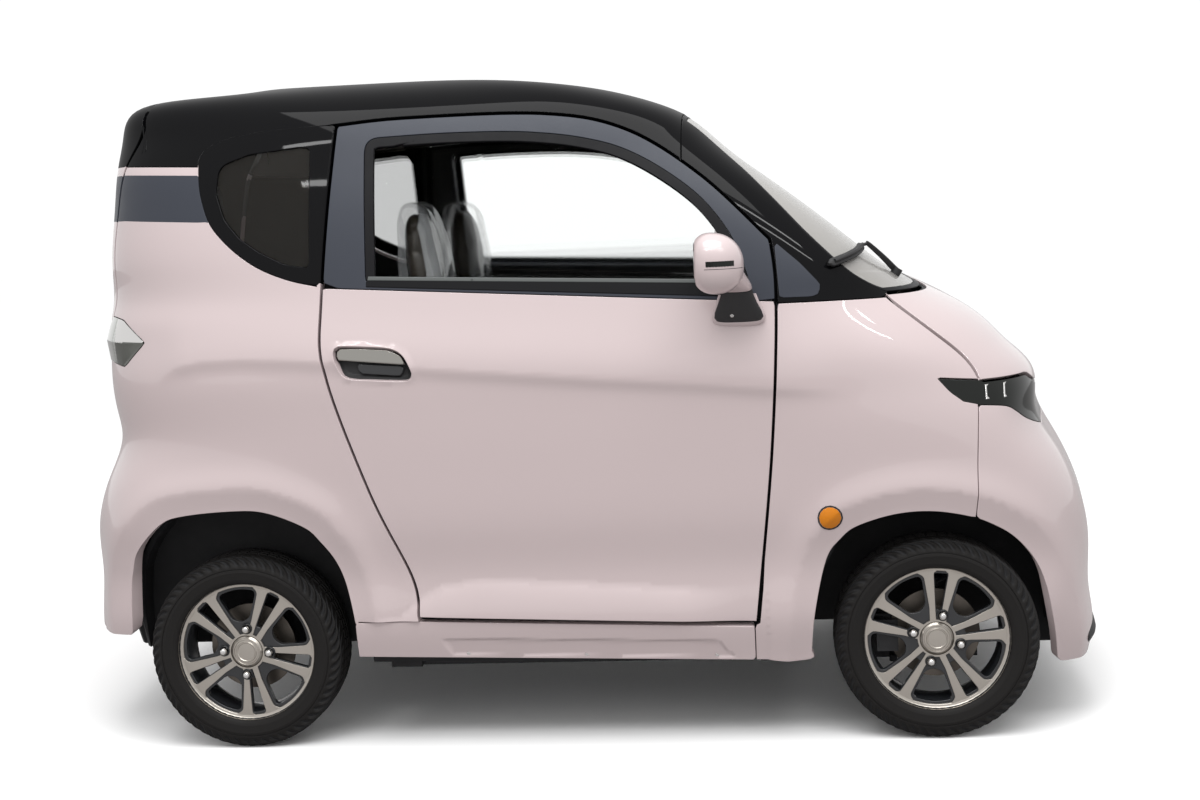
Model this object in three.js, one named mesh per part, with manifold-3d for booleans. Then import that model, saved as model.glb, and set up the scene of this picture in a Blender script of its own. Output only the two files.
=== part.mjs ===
// Small two-seat electric car: a hollow body of separate panels on a floor pan, with opening doors,
// hood and tailgate, rolling wheels, and front wheels steered by a rack and a steering wheel.
// Millimetres, +X forward, +Y to the car's left, +Z up, origin on the ground under the car's middle.
import * as THREE from "three";
import { mergeVertices } from "three/addons/utils/BufferGeometryUtils.js";
import Module from "manifold-3d";

const wasm = await Module();
wasm.setup();

// ---------------------------------------------------------------- driving dimensions
const wheelbase = 1752;
const track = 1250;
const tyreRadius = 252;
const tyreWidth = 145;
const rimRadius = 180;

const shutGap = 7; // round the doors, the hood and the tailgate
const seatGap = 0.4; // between pieces that are fixed to each other
const pinGap = 0.5; // round a pin in its hole

const glassThickness = 6;
const doorGlassDepth = 14; // from the outer skin to the door glass
const fixedGlassDepth = 3; // from the outer skin to the windscreen and the other fixed glass
const panelThickness = 28; // hood, fenders, bumpers
const pillarThickness = 45; // roof and windscreen pillars
const wallThickness = 70; // doors and quarter panels, skin to inner trim
const steerRoom = 132.5; // inboard of a front tyre, for its lock
const tyreRoom = 27.5; // inboard of a rear tyre
const lampInset = 25; // from the tailgate's side to a tail lamp

const frontAxleX = wheelbase / 2;
const rearAxleX = -wheelbase / 2;

// ---------------------------------------------------------------- materials
const paint = { color: 0xd9cccd, roughness: 0.25, metalness: 0.0 };
const glossBlack = { color: 0x0b0b0d, roughness: 0.1, metalness: 0.0 };
const satinGrey = { color: 0x4a4b52, roughness: 0.6, metalness: 0.0 };
const blackPlastic = { color: 0x17181a, roughness: 0.75, metalness: 0.0 };
const clearGlass = { color: 0xdfe8ea, roughness: 0.05, metalness: 0.0, transparent: true, opacity: 0.3 };
const tintedGlass = { color: 0x24221f, roughness: 0.05, metalness: 0.0, transparent: true, opacity: 0.6 };
const lampLens = { color: 0x22262a, roughness: 0.1, metalness: 0.2 };
const clearLens = { color: 0xc9cfd3, roughness: 0.1, metalness: 0.4 };
const rubber = { color: 0x1a1a1b, roughness: 0.85, metalness: 0.0 };
const alloy = { color: 0xb9b4ab, roughness: 0.3, metalness: 0.9 };
const castSteel = { color: 0x35363a, roughness: 0.6, metalness: 0.6 };
const trimPlastic = { color: 0x2b2b2e, roughness: 0.7, metalness: 0.0 };
const seatCover = { color: 0x2a2c33, roughness: 0.6, metalness: 0.0 };

// ---------------------------------------------------------------- solids and outlines
function solid(geometry) {
  const bare = geometry.clone();
  bare.deleteAttribute("normal");
  bare.deleteAttribute("uv");
  const merged = mergeVertices(bare, 1e-3);
  return new wasm.Manifold(
    new wasm.Mesh({
      numProp: 3,
      vertProperties: new Float32Array(merged.attributes.position.array),
      triVerts: new Uint32Array(merged.index.array),
    }),
  );
}

function geometryOf(body) {
  const made = body.getMesh();
  return new THREE.BufferGeometry()
    .setAttribute("position", new THREE.BufferAttribute(new Float32Array(made.vertProperties), 3))
    .setIndex(new THREE.BufferAttribute(new Uint32Array(made.triVerts), 1));
}

const joined = (...bodies) => bodies.reduce((sum, body) => sum.add(body));

function extruded(points, depth) {
  const shape = new THREE.Shape(points.map(([a, b]) => new THREE.Vector2(a, b)));
  return new THREE.ExtrudeGeometry(shape, { depth, bevelEnabled: false, curveSegments: 1, steps: 1 });
}

// A side-view outline (x, z) carried from y0 to y1.
const sidePrism = (points, y0, y1) =>
  solid(extruded(points, y1 - y0).rotateX(Math.PI / 2).translate(0, y1, 0));
// A plan-view outline (x, y) carried from z0 to z1.
const planPrism = (points, z0, z1) => solid(extruded(points, z1 - z0).translate(0, 0, z0));
// An end-view outline (y, z) carried from x0 to x1.
const endPrism = (points, x0, x1) =>
  solid(
    extruded(points, x1 - x0)
      .applyMatrix4(new THREE.Matrix4().makeBasis(
        new THREE.Vector3(0, 1, 0), new THREE.Vector3(0, 0, 1), new THREE.Vector3(1, 0, 0)))
      .translate(x0, 0, 0),
  );

function block(x0, x1, y0, y1, z0, z1) {
  return solid(new THREE.BoxGeometry(x1 - x0, y1 - y0, z1 - z0)
    .translate((x0 + x1) / 2, (y0 + y1) / 2, (z0 + z1) / 2));
}

// A round bar between two points.
function bar(from, to, radius, sides = 8) {
  const a = new THREE.Vector3(...from);
  const b = new THREE.Vector3(...to);
  const turn = new THREE.Quaternion().setFromUnitVectors(
    new THREE.Vector3(0, 1, 0), b.clone().sub(a).normalize());
  return solid(new THREE.CylinderGeometry(radius, radius, a.distanceTo(b), sides)
    .applyQuaternion(turn).translate(...a.add(b).multiplyScalar(0.5).toArray()));
}

// A profile of [radius, y] turned about the Y axis.
function turned(profile, segments) {
  return solid(new THREE.LatheGeometry(profile.map(([r, y]) => new THREE.Vector2(r, y)), segments));
}

// Points along a smooth curve through the given ones.
const smooth = (points, divisions) =>
  new THREE.SplineCurve(points.map(([a, b]) => new THREE.Vector2(a, b)))
    .getPoints(divisions).map((p) => [p.x, p.y]);

// A closed outline whose corners [a, b, radius] are rounded by short arcs.
function rounded(corners, steps = 3) {
  const out = [];
  corners.forEach(([a, b, radius = 0], i) => {
    const at = new THREE.Vector2(a, b);
    const before = new THREE.Vector2(...corners.at(i - 1).slice(0, 2)).sub(at);
    const after = new THREE.Vector2(...corners[(i + 1) % corners.length].slice(0, 2)).sub(at);
    if (radius === 0) return out.push([a, b]);
    const half = Math.abs(before.angleTo(after)) / 2;
    const reach = Math.min(radius / Math.tan(half), 0.45 * before.length(), 0.45 * after.length());
    const from = before.normalize().multiplyScalar(reach).add(at);
    const to = after.normalize().multiplyScalar(reach).add(at);
    for (const p of new THREE.QuadraticBezierCurve(from, at, to).getPoints(steps)) out.push([p.x, p.y]);
  });
  return out;
}

const areaOf = (points) =>
  points.reduce((sum, [a, b], i) => {
    const [c, d] = points[(i + 1) % points.length];
    return sum + a * d - b * c;
  }, 0) / 2;

// The outline moved outwards by a distance, or inwards when it is negative.
function grown(points, distance) {
  const side = Math.sign(areaOf(points));
  return points.map(([a, b], i) => {
    const [pa, pb] = points.at(i - 1);
    const [na, nb] = points[(i + 1) % points.length];
    const into = new THREE.Vector2(a - pa, b - pb).normalize();
    const out = new THREE.Vector2(na - a, nb - b).normalize();
    const normal = new THREE.Vector2(into.y + out.y, -into.x - out.x).normalize();
    const stretch = Math.max(0.5, new THREE.Vector2(into.y, -into.x).dot(normal));
    return [a + (side * distance * normal.x) / stretch, b + (side * distance * normal.y) / stretch];
  });
}

// ---------------------------------------------------------------- body surface
// Each row is one ring round the car: its height and half width at the side, its height, reach and
// squareness at the nose, and the same at the tail.
const levelColumns = ["zSide", "halfWidth", "xMid", "zFront", "xFront", "nFront", "zRear", "xRear", "nRear"];
const levels = [
  [140, 690, 0, 140, 1285, 6, 140, -1330, 6],
  [230, 708, 0, 230, 1322, 6, 230, -1352, 6],
  [330, 730, 0, 330, 1335, 6, 330, -1368, 6],
  [440, 722, 0, 440, 1333, 6, 440, -1375, 6],
  [560, 735, 0, 560, 1312, 6, 560, -1370, 6],
  [690, 743, 0, 690, 1256, 6, 690, -1338, 5.5],
  [800, 747, 0, 800, 1213, 5.5, 800, -1290, 5],
  [870, 749, 0, 870, 1187, 5, 870, -1280, 5],
  [960, 750, 0, 960, 1100, 4.5, 960, -1284, 5],
  [1050, 738, 0, 1050, 997, 4.5, 1050, -1290, 5],
  [1105, 727, 0, 1112, 882, 4.8, 1105, -1292, 5],
  [1150, 718, 0, 1150, 822, 5.5, 1150, -1292, 5],
  [1250, 697, 0, 1250, 696, 6.5, 1250, -1283, 5],
  [1400, 660, -50, 1400, 509, 6.5, 1400, -1258, 5],
  [1500, 628, -100, 1500, 384, 6, 1500, -1235, 5],
  [1585, 595, -150, 1585, 278, 5.5, 1585, -1208, 4.5],
  [1640, 548, -250, 1637, 140, 5, 1655, -1160, 4.5],
  [1683, 450, -350, 1680, 0, 4, 1693, -1070, 4],
  [1709, 300, -560, 1707, -220, 3, 1716, -900, 3],
].map((row) => Object.fromEntries(row.map((value, i) => [levelColumns[i], value])));
const roofTop = new THREE.Vector3(-650, 0, 1727);
const stepsPerQuarter = 8;

// A point of a ring at an angle seen from above, from 0 at the nose to a half turn at the tail.
function ringPoint(level, angle) {
  const atFront = Math.cos(angle) >= 0;
  const power = atFront ? level.nFront : level.nRear;
  const along = Math.abs(Math.cos(angle));
  const across = Math.abs(Math.sin(angle));
  const scale = (along ** power + across ** power) ** (-1 / power);
  const share = along * scale;
  const xEnd = atFront ? level.xFront : level.xRear;
  const zEnd = atFront ? level.zFront : level.zRear;
  return new THREE.Vector3(
    level.xMid + (xEnd - level.xMid) * share,
    -Math.sign(Math.sin(angle)) * level.halfWidth * across * scale,
    level.zSide + (zEnd - level.zSide) * share ** 3,
  );
}

// The closed body moved inwards along its own normals by a depth; a ring below it opens the bottom.
const bodies = new Map();
function bodyAt(depth) {
  if (bodies.has(depth)) return bodies.get(depth);
  const count = 4 * stepsPerQuarter;
  const rings = levels.map((level) =>
    Array.from({ length: count }, (_, i) => ringPoint(level, (2 * Math.PI * i) / count)));
  const moved = rings.map((ring, k) =>
    ring.map((point, i) => {
      const round = ring[(i + 1) % count].clone().sub(ring[(i + count - 1) % count]);
      const rise = rings[Math.min(k + 1, rings.length - 1)][i].clone().sub(rings[Math.max(k - 1, 0)][i]);
      const normal = rise.cross(round).normalize();
      return point.clone().addScaledVector(normal, -depth);
    }));
  const lowest = moved[0].map((p) => new THREE.Vector3(p.x, p.y, p.z - 20 - depth));
  const all = depth === 0 ? moved : [lowest, ...moved];
  const top = roofTop.clone().setZ(roofTop.z - depth);
  const floor = new THREE.Vector3(0, 0, all[0][0].z);
  const position = [...all.flat(), floor, top].flatMap((p) => p.toArray());
  const floorIndex = all.length * count;
  const index = [];
  for (let i = 0; i < count; i++) {
    const next = (i + 1) % count;
    index.push(floorIndex, i, next);
    for (let k = 0; k + 1 < all.length; k++) {
      const a = k * count + i;
      const b = k * count + next;
      index.push(a, a + count, b + count, a, b + count, b);
    }
    const last = (all.length - 1) * count;
    index.push(last + i, floorIndex + 1, last + next);
  }
  const made = solid(new THREE.BufferGeometry()
    .setAttribute("position", new THREE.Float32BufferAttribute(position, 3)).setIndex(index));
  bodies.set(depth, made);
  return made;
}
const skin = (outer, inner) => bodyAt(outer).subtract(bodyAt(inner));

// ---------------------------------------------------------------- outlines of the panels, in side view
const doorFront = smooth([[435, 316], [484, 743], [506, 1104], [497, 1250]], 12);
const doorTop = smooth([[497, 1250], [333, 1414], [150, 1535], [-58, 1583], [-400, 1589], [-573, 1579]], 15);
const doorRear = smooth([[-573, 1579], [-610, 1150], [-602, 960], [-513, 673], [-418, 442], [-406, 347]], 15);
const doorLine = [...doorFront, ...doorTop.slice(1), ...doorRear.slice(1)];
const doorHole = grown(doorLine, shutGap);
const beltZ = 1150; // above it a door is only the frame of its window
const doorGlassLine = rounded([
  [-500, 1188, 12], [385, 1146, 12], [382, 1242, 30], [141, 1462, 120], [-60, 1536, 80], [-495, 1534, 90]], 4);

const quarterGlassLine = rounded([
  [-624, 1182, 4], [-700, 1196, 90], [-905, 1270, 120], [-918, 1545, 90], [-800, 1572, 60], [-600, 1574, 4]], 4);

const hoodRearZ = 1104;
const hoodLine = [
  [777, hoodRearZ], [812, 1079], [884, 1022], [955, 957], [991, 915], [1000, 890]];
const lampTop = [[903, 890], [1137, 890], [1215, 838], [1420, 836]];
const lampBottom = [[1420, 755], [1212, 757], [1143, 805], [1071, 819], [987, 827], [951, 841]];
const lampLine = [...lampTop, ...lampBottom];

const fromAxle = (axleX, points) => points.map(([x, z]) => [axleX + x, z]);
const frontArch = smooth(fromAxle(frontAxleX, [
  [-298, 100], [-298, 262], [-250, 464], [-134, 566], [-6, 580], [109, 562], [234, 450], [282, 328], [290, 100]]), 18);
const rearArch = smooth(fromAxle(rearAxleX, [
  [-284, 100], [-282, 400], [-249, 510], [-154, 605], [-14, 625], [148, 584], [276, 440], [310, 262],
  [310, 100]]), 18);

const roofFrontX = 289;
const windscreenSide = smooth([[778, 1108], [574, 1306], [456, 1408], [roofFrontX + seatGap, 1543]], 9);
const roofRearX = -1098;
const sillTopFront = [430, 313 - shutGap];
const sillTopRear = [-575, 342 - shutGap];
const fenderRearBottom = [430, 306];
const roofCapZ = 1506;
const tailgateHalfWidth = 505;
const tailgateBottomZ = 600;
const tailgateGap = 11; // between the roof and the tailgate's turning edge
const tailgateAxis = { x: roofRearX - tailgateGap - 7, z: 1668 };
const tailgateLugs = [-120, 120];

// ---------------------------------------------------------------- root: the panels of the body
const pieces = [];
const add = (name, body, look) => pieces.push({ name, body, look });
const half = (side) => block(-2000, 2000, side > 0 ? 0 : -1200, side > 0 ? 1200 : 0, -100, 2000);
const through = (points) => sidePrism(points, -1000, 1000);
const sides = [["left", 1], ["right", -1]];

const arches = joined(through(frontArch), through(rearArch));
const doorOpening = through(doorHole);
const tailgateOpening = block(-2000, roofRearX, -tailgateHalfWidth - shutGap, tailgateHalfWidth + shutGap,
  tailgateBottomZ - shutGap, 2000);

// Roof: from the windscreen to the tailgate, above the doors and the quarter windows.
const roofLine = [
  [roofFrontX, 1800], [roofFrontX, 1500], [-580, 1500], [-580, 1583], [-800, 1577], [-915, 1552],
  [-940, roofCapZ], [-1400, roofCapZ], [-1400, 1800]];
const roofPrism = through(roofLine);
const tailgatePin = (y, reach, radius) =>
  bar([tailgateAxis.x, y - reach, tailgateAxis.z], [tailgateAxis.x, y + reach, tailgateAxis.z], radius);
const lugs = tailgateLugs.map((y) =>
  block(tailgateAxis.x - 6, roofRearX + 4, y - 7, y + 7, tailgateAxis.z - 8, tailgateAxis.z + 4)
    .add(tailgatePin(y, 24, 3)));
add("roof",
  skin(0, pillarThickness).intersect(roofPrism).subtract(doorOpening).subtract(tailgateOpening)
    .add(joined(...lugs)), glossBlack);

// Windscreen pillars, with the fixed triangle in front of each door.
const pillarPrism = through([
  [500, 1098], [766, 1098], ...windscreenSide, [roofFrontX + seatGap, 1400], [500, 1180]]);
const windscreenLine = [
  ...windscreenSide, [roofFrontX + seatGap, 1800], [1100, 1800], [1100, hoodRearZ + 8], [790, hoodRearZ + 8]];
const windscreenPrism = through(windscreenLine);
for (const [name, side] of sides)
  add(`a_pillar_${name}`,
    skin(0, pillarThickness).intersect(pillarPrism).intersect(half(side))
      .subtract(doorOpening).subtract(windscreenPrism).subtract(block(280, 900, -500, 500, 1000, 1800)),
    glossBlack);
add("windshield",
  skin(fixedGlassDepth, fixedGlassDepth + glassThickness).intersect(through(grown(windscreenLine, -seatGap))),
  clearGlass);

// Hood, lamp band, bumper and fenders.
const hoodPrism = through([...hoodLine, [1137, 890], [1215, 838], [1420, 836], [1420, hoodRearZ]]);
const hoodHole = grown([...hoodLine, [1137, 890], [1215, 838], [1420, 836], [1420, hoodRearZ]], shutGap);
const lampPrism = through(lampLine);
const lampHole = through(grown(lampLine, seatGap));
add("front_lamps", skin(0, panelThickness).intersect(lampPrism).subtract(through(hoodHole)), lampLens);
const bumperPrism = through([
  [974, 100], [974, 540], [987, 827], [1500, 827], [1500, 100]]);
add("front_bumper",
  skin(0, panelThickness).intersect(bumperPrism).subtract(lampHole).subtract(through(hoodHole)).subtract(arches),
  paint);
const fenderPrism = through([
  [430 + 2 * seatGap, 200], [600, 200], [974 - seatGap, 400], [974 - seatGap, 540], [987 - seatGap, 827],
  [1010, 850], [1010, 895], [780, 1098 - seatGap], [430 + 2 * seatGap, 1098 - seatGap]]);
for (const [name, side] of sides)
  add(`fender_${name}`,
    skin(0, panelThickness).intersect(fenderPrism).intersect(half(side)).subtract(doorOpening)
      .subtract(lampHole).subtract(through(hoodHole)).subtract(arches), paint);

// Sills under the doors.
const sillPrism = through([[-575, 242], [430, 214], sillTopFront, sillTopRear]);
for (const [name, side] of sides)
  add(`sill_${name}`,
    skin(0, wallThickness).intersect(sillPrism).intersect(half(side)).subtract(arches), paint);

// Quarter panels behind the doors, with their windows, and the rear panel between them.
const quarterPrism = through([
  [-400, 342 - shutGap + seatGap], [-575, 342 - shutGap + seatGap], [-1150, 300], [-1250, 300], [-1400, 240],
  [-1400, roofCapZ], [-960, 1590], [-400, 1590]]).subtract(through(grown(roofLine, seatGap)));
const quarterWindow = through(quarterGlassLine);
const lampDiamond = rounded([
  [-1300, 1128, 4], [-1212, 1118, 4], [-1149, 1108, 8], [-1110, 1058, 4], [-1180, 985, 8], [-1215, 985, 4],
  [-1300, 990, 4]], 2);
const lampInner = tailgateHalfWidth + lampInset;
const tailLampHole = through(lampDiamond).subtract(block(-2000, 0, -lampInner, lampInner, 0, 2000));
for (const [name, side] of sides) {
  add(`quarter_panel_${name}`,
    skin(0, wallThickness).intersect(quarterPrism).intersect(half(side)).subtract(doorOpening)
      .subtract(quarterWindow).subtract(arches).subtract(tailLampHole)
      .subtract(block(-2000, -1000, -tailgateHalfWidth - shutGap, tailgateHalfWidth + shutGap, 0, 2000)),
    paint);
  add(`quarter_glass_${name}`,
    skin(fixedGlassDepth, fixedGlassDepth + glassThickness)
      .intersect(through(grown(quarterGlassLine, -seatGap))).intersect(half(side)), tintedGlass);
  add(`tail_lamp_${name}`,
    skin(-8, 40).intersect(through(grown(lampDiamond, -seatGap))).intersect(half(side))
      .subtract(block(-2000, 0, -lampInner - seatGap, lampInner + seatGap, 0, 2000)), clearLens);
}
const rearPanelHalfWidth = tailgateHalfWidth + shutGap - seatGap;
add("rear_bumper",
  skin(0, wallThickness).intersect(block(-2000, -1100, -rearPanelHalfWidth, rearPanelHalfWidth, 240,
    tailgateBottomZ - shutGap)), paint);

// ---------------------------------------------------------------- root: floor pan, wells, bulkhead
const floorZ = [205, 235];
const innerHalf = 640;
const frontWell = { inner: track / 2 - tyreWidth / 2 - steerRoom, x0: frontAxleX - 316, x1: frontAxleX + 364, top: 600 };
const rearWell = { inner: track / 2 - tyreWidth / 2 - tyreRoom, x0: rearAxleX - 414, x1: rearAxleX + 346, top: 640 };
const padZ = 190; // underside of the four jacking pads
const deckZ = [450, 475];
const linerThickness = 14;
const armZ = { low: 150, high: 372 };
const hingeAxis = { x: 440, y: 728 };
const hingePinRadius = 5;
const hingeHeights = [680, 930];
const hoodAxis = { x: 720, z: 1100 };

const spread = (side, a, b) => [Math.min(side * a, side * b), Math.max(side * a, side * b)];

// Swan-neck door hinges: a leg back from the pillar, a leg out to the pin, and the pin.
function hingeStraps() {
  const made = [];
  for (const [, side] of sides)
    for (const z of hingeHeights) {
      const { x, y } = hingeAxis;
      made.push(block(x - 7, 530, ...spread(side, 650, 668), z - 20, z + 20));
      made.push(block(x - 7, x + 7, ...spread(side, 655, y + 5), z - 20, z + 20));
      made.push(bar([x, side * y, z - 38], [x, side * y, z + 38], hingePinRadius));
    }
  return joined(...made);
}
const pan = [
  block(-530, 570, -innerHalf, innerHalf, ...floorZ),
  block(545, 570, -innerHalf, innerHalf, floorZ[0], 1060),
  block(-556, -530, -innerHalf, innerHalf, floorZ[0], deckZ[1]),
  block(-1290, -530, -rearWell.inner, rearWell.inner, ...deckZ),
  block(-1290, -1270, -rearWell.inner, rearWell.inner, 250, deckZ[1]),
  block(545, 700, -560, 560, 1040, 1060),
];
for (const [, side] of sides) {
  const across = (a, b) => spread(side, a, b);
  const frontLiner = sidePrism(grown(frontArch, 12 + linerThickness), ...across(frontWell.inner, 695))
    .subtract(sidePrism(grown(frontArch, 12), ...across(frontWell.inner - 50, 750)));
  const rearLiner = sidePrism(grown(rearArch, 12 + linerThickness), ...across(rearWell.inner, 662))
    .subtract(sidePrism(grown(rearArch, 12), ...across(rearWell.inner - 50, 750)));
  const keep = block(-2000, 2000, -800, 800, 240, 2000);
  pan.push(frontLiner.intersect(keep), rearLiner.intersect(keep));
  const upperArms = block(frontAxleX - 120, frontAxleX + 120, ...across(frontWell.inner - 70, frontWell.inner + 30),
    armZ.high - 20, armZ.high + 20);
  pan.push(block(frontWell.x0, frontWell.x1, ...across(frontWell.inner - 20, frontWell.inner), 240, frontWell.top)
    .subtract(upperArms));
  const beamSlot = block(rearAxleX - 45, rearAxleX + 45, ...across(400, 600), 0, tyreRadius + 45);
  pan.push(block(rearWell.x0, rearWell.x1, ...across(rearWell.inner - 15, rearWell.inner), 240, rearWell.top)
    .subtract(beamSlot));
  pan.push(block(521, 570, ...across(600, 690), floorZ[0], 1060));
  pan.push(block(-556, 521, ...across(innerHalf - 5, 660), floorZ[0], 300));
}
pan.push(block(frontWell.x1 - 25, frontWell.x1, -600, 600, 300, 360));
for (const [, side] of sides) {
  const [a, b] = spread(side, 470, 482);
  pan.push(block(680, hoodAxis.x + 16, a, b, 1050, hoodAxis.z + 16)
    .subtract(bar([hoodAxis.x, a - 5, hoodAxis.z], [hoodAxis.x, b + 5, hoodAxis.z], 6 + pinGap)));
  for (const x of [-470, 480]) pan.push(block(x - 40, x + 40, ...spread(side, 570, 630), padZ, floorZ[1]));
}
const inFront = block(500, 1300, -800, 800, 0, 1200).intersect(bodyAt(panelThickness + seatGap));
const straps = hingeStraps();
add("floor_pan",
  joined(...pan).intersect(joined(bodyAt(wallThickness + seatGap), inFront)).add(straps), blackPlastic);

// ---------------------------------------------------------------- doors, hood, tailgate
const doorGlassHole = through(doorGlassLine);
const handleLine = rounded([[-582, 1032, 10], [-574, 955, 22], [-388, 943, 8], [-384, 985, 14], [-418, 1020, 24]], 3);
const doorPrism = through(doorLine);
const belowBelt = block(-800, 600, -800, 800, 0, beltZ);
for (const [name, side] of sides) {
  const pockets = hingeHeights.map((z) =>
    block(hingeAxis.x - 16, 530, ...spread(side, 600, hingeAxis.y + 11), z - 27, z + 27)
      .add(bar([hingeAxis.x, side * hingeAxis.y, z - 42], [hingeAxis.x, side * hingeAxis.y, z + 42],
        hingePinRadius + pinGap)));
  const recess = skin(-20, 26).intersect(through(handleLine)).intersect(half(side));
  const flap = skin(-4, 26.5).intersect(half(side)).intersect(
    through(rounded([[-590, 1040, 2], [-588, 985, 4], [-396, 972, 4], [-380, 1040, 2]], 2)))
    .intersect(through(handleLine)).subtract(skin(8, 22));
  add(`door_${name}`,
    joined(
      skin(0, wallThickness).intersect(doorPrism).intersect(belowBelt),
      skin(0, pillarThickness).intersect(doorPrism))
      .intersect(half(side)).subtract(doorGlassHole).subtract(joined(...pockets)).subtract(recess).add(flap),
    paint);
  add(`door_glass_${name}`,
    skin(doorGlassDepth, doorGlassDepth + glassThickness).intersect(half(side))
      .intersect(through(grown(doorGlassLine, -seatGap))), clearGlass);
  const housing = solid(new THREE.SphereGeometry(1, 16, 10).scale(58, 84, 62).translate(384, side * 846, 1208));
  add(`mirror_${name}`,
    joined(
      housing.intersect(block(338, 500, -1000, 1000, 1100, 1300)),
      sidePrism(rounded([[362, 1066, 4], [470, 1066, 8], [440, 1150, 10], [352, 1165, 10]], 2),
        ...spread(side, 690, 800)).subtract(bodyAt(-seatGap)),
    ), glossBlack);
}

// The hood's goose-neck arms pass under the windscreen's foot, and its rear edge is cut upright.
const hoodArmLine = [
  [-12, 8], [12, 8], [24, -88], [62, -112], [130, -84], [206, -36], [222, -50], [140, -104], [56, -134],
  [4, -100]].map(([x, z]) => [hoodAxis.x + x, hoodAxis.z + z]);
const hoodArms = sides.map(([, side]) =>
  sidePrism(hoodArmLine, ...spread(side, 487, 497))
    .add(bar([hoodAxis.x, side * 466, hoodAxis.z], [hoodAxis.x, side * 500, hoodAxis.z], 6)));
const cowlLevel = levels.find((level) => level.zSide > hoodRearZ);
const cowlRing = Array.from({ length: 33 }, (_, i) => ringPoint(cowlLevel, (Math.PI * (i - 16)) / 34));
const cowlEdge = planPrism(grown([[0, 600], ...cowlRing.map((p) => [p.x, p.y]), [0, -600]], 12),
  1000, 1300).intersect(block(700, 1000, -615, 615, 1000, 1300));
add("hood", skin(0, panelThickness).intersect(hoodPrism).subtract(cowlEdge).add(joined(...hoodArms)), paint);

const tailgateLine = [
  [-tailgateHalfWidth, tailgateBottomZ], [tailgateHalfWidth, tailgateBottomZ], [tailgateHalfWidth, 1800],
  [-tailgateHalfWidth, 1800]];
const glassHalf = { low: tailgateHalfWidth - 75, high: tailgateHalfWidth - 100 };
const rearGlassLine = rounded([
  [-glassHalf.low, 1090, 60], [glassHalf.low, 1090, 60], [glassHalf.high, 1465, 60], [-glassHalf.high, 1465, 60]], 4);
const rearGlassHole = endPrism(rearGlassLine, -1500, -1000);
const lugSlots = tailgateLugs.map((y) =>
  block(tailgateAxis.x - 14, roofRearX, y - 13, y + 13, tailgateAxis.z - 18, tailgateAxis.z + 40)
    .add(tailgatePin(y, 26, 3 + pinGap)));
add("tailgate",
  skin(0, pillarThickness).intersect(endPrism(tailgateLine, -1500, roofRearX - tailgateGap))
    .subtract(rearGlassHole).subtract(joined(...lugSlots)), paint);
add("rear_glass",
  skin(fixedGlassDepth, fixedGlassDepth + glassThickness)
    .intersect(endPrism(grown(rearGlassLine, -seatGap), -1500, -1000)), tintedGlass);

// ---------------------------------------------------------------- inside the cabin
const dashProfile = rounded([
  [571, 700, 4], [571, 1030, 4], [790, 1033, 4], [770, 1064, 10], [560, 1078, 40], [470, 1010, 40],
  [480, 860, 30], [540, 720, 20]], 3);
const columnTilt = 25 * (Math.PI / 180);
const steeringCentre = [330, 330, 900];
const alongColumn = (distance) => [
  steeringCentre[0] + distance * Math.cos(columnTilt), steeringCentre[1],
  steeringCentre[2] - distance * Math.sin(columnTilt)];
const dashX = [470, 544.6];
add("dashboard",
  joined(
    sidePrism(rounded([
      [dashX[1], 690, 4], [dashX[1], 1088, 4], [530, 1090, 20], [468, 1030, 40], [470, 880, 30]], 3), -590, 590),
    bar(alongColumn(18 + 2 * seatGap), alongColumn(210), 28, 16),
  ), trimPlastic);

const seatProfile = rounded([
  [140, 400, 30], [150, 510, 40], [100, 545, 50], [-210, 500, 40], [-330, 1130, 50], [-430, 1150, 50],
  [-330, 430, 40], [-300, 400, 20]], 3);
const headrestProfile = rounded([
  [-425, 1120, 10], [-350, 1120, 10], [-345, 1300, 40], [-400, 1372, 30], [-470, 1360, 40], [-450, 1220, 40]], 3);
const seatBodies = [];
for (const [, side] of sides) {
  const seatMid = side * 330;
  seatBodies.push(sidePrism(seatProfile, seatMid - 235, seatMid + 235));
  seatBodies.push(sidePrism(headrestProfile, seatMid - 130, seatMid + 130));
  seatBodies.push(block(-280, 90, seatMid - 200, seatMid + 200, floorZ[1] + seatGap, 420));
}
seatBodies.push(block(-270, 80, -200, 200, floorZ[1] + seatGap, 300));
add("seats", joined(...seatBodies), seatCover);

const ringRadius = 175;
const steeringWheel = joined(
  solid(new THREE.TorusGeometry(ringRadius, 14, 6, 28)),
  solid(new THREE.CylinderGeometry(52, 46, 36, 12).rotateX(Math.PI / 2)),
  ...[0, Math.PI, -Math.PI / 2].map((angle) =>
    solid(new THREE.BoxGeometry(ringRadius, 34, 14).translate(ringRadius / 2, 0, 0).rotateZ(angle))),
);
const placed = (body, matrix) => body.transform(matrix.elements.slice());
add("steering_wheel",
  placed(steeringWheel, new THREE.Matrix4()
    .makeBasis(
      new THREE.Vector3(0, 1, 0),
      new THREE.Vector3(Math.sin(columnTilt), 0, Math.cos(columnTilt)),
      new THREE.Vector3(Math.cos(columnTilt), 0, -Math.sin(columnTilt)))
    .setPosition(...steeringCentre)), trimPlastic);

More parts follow.
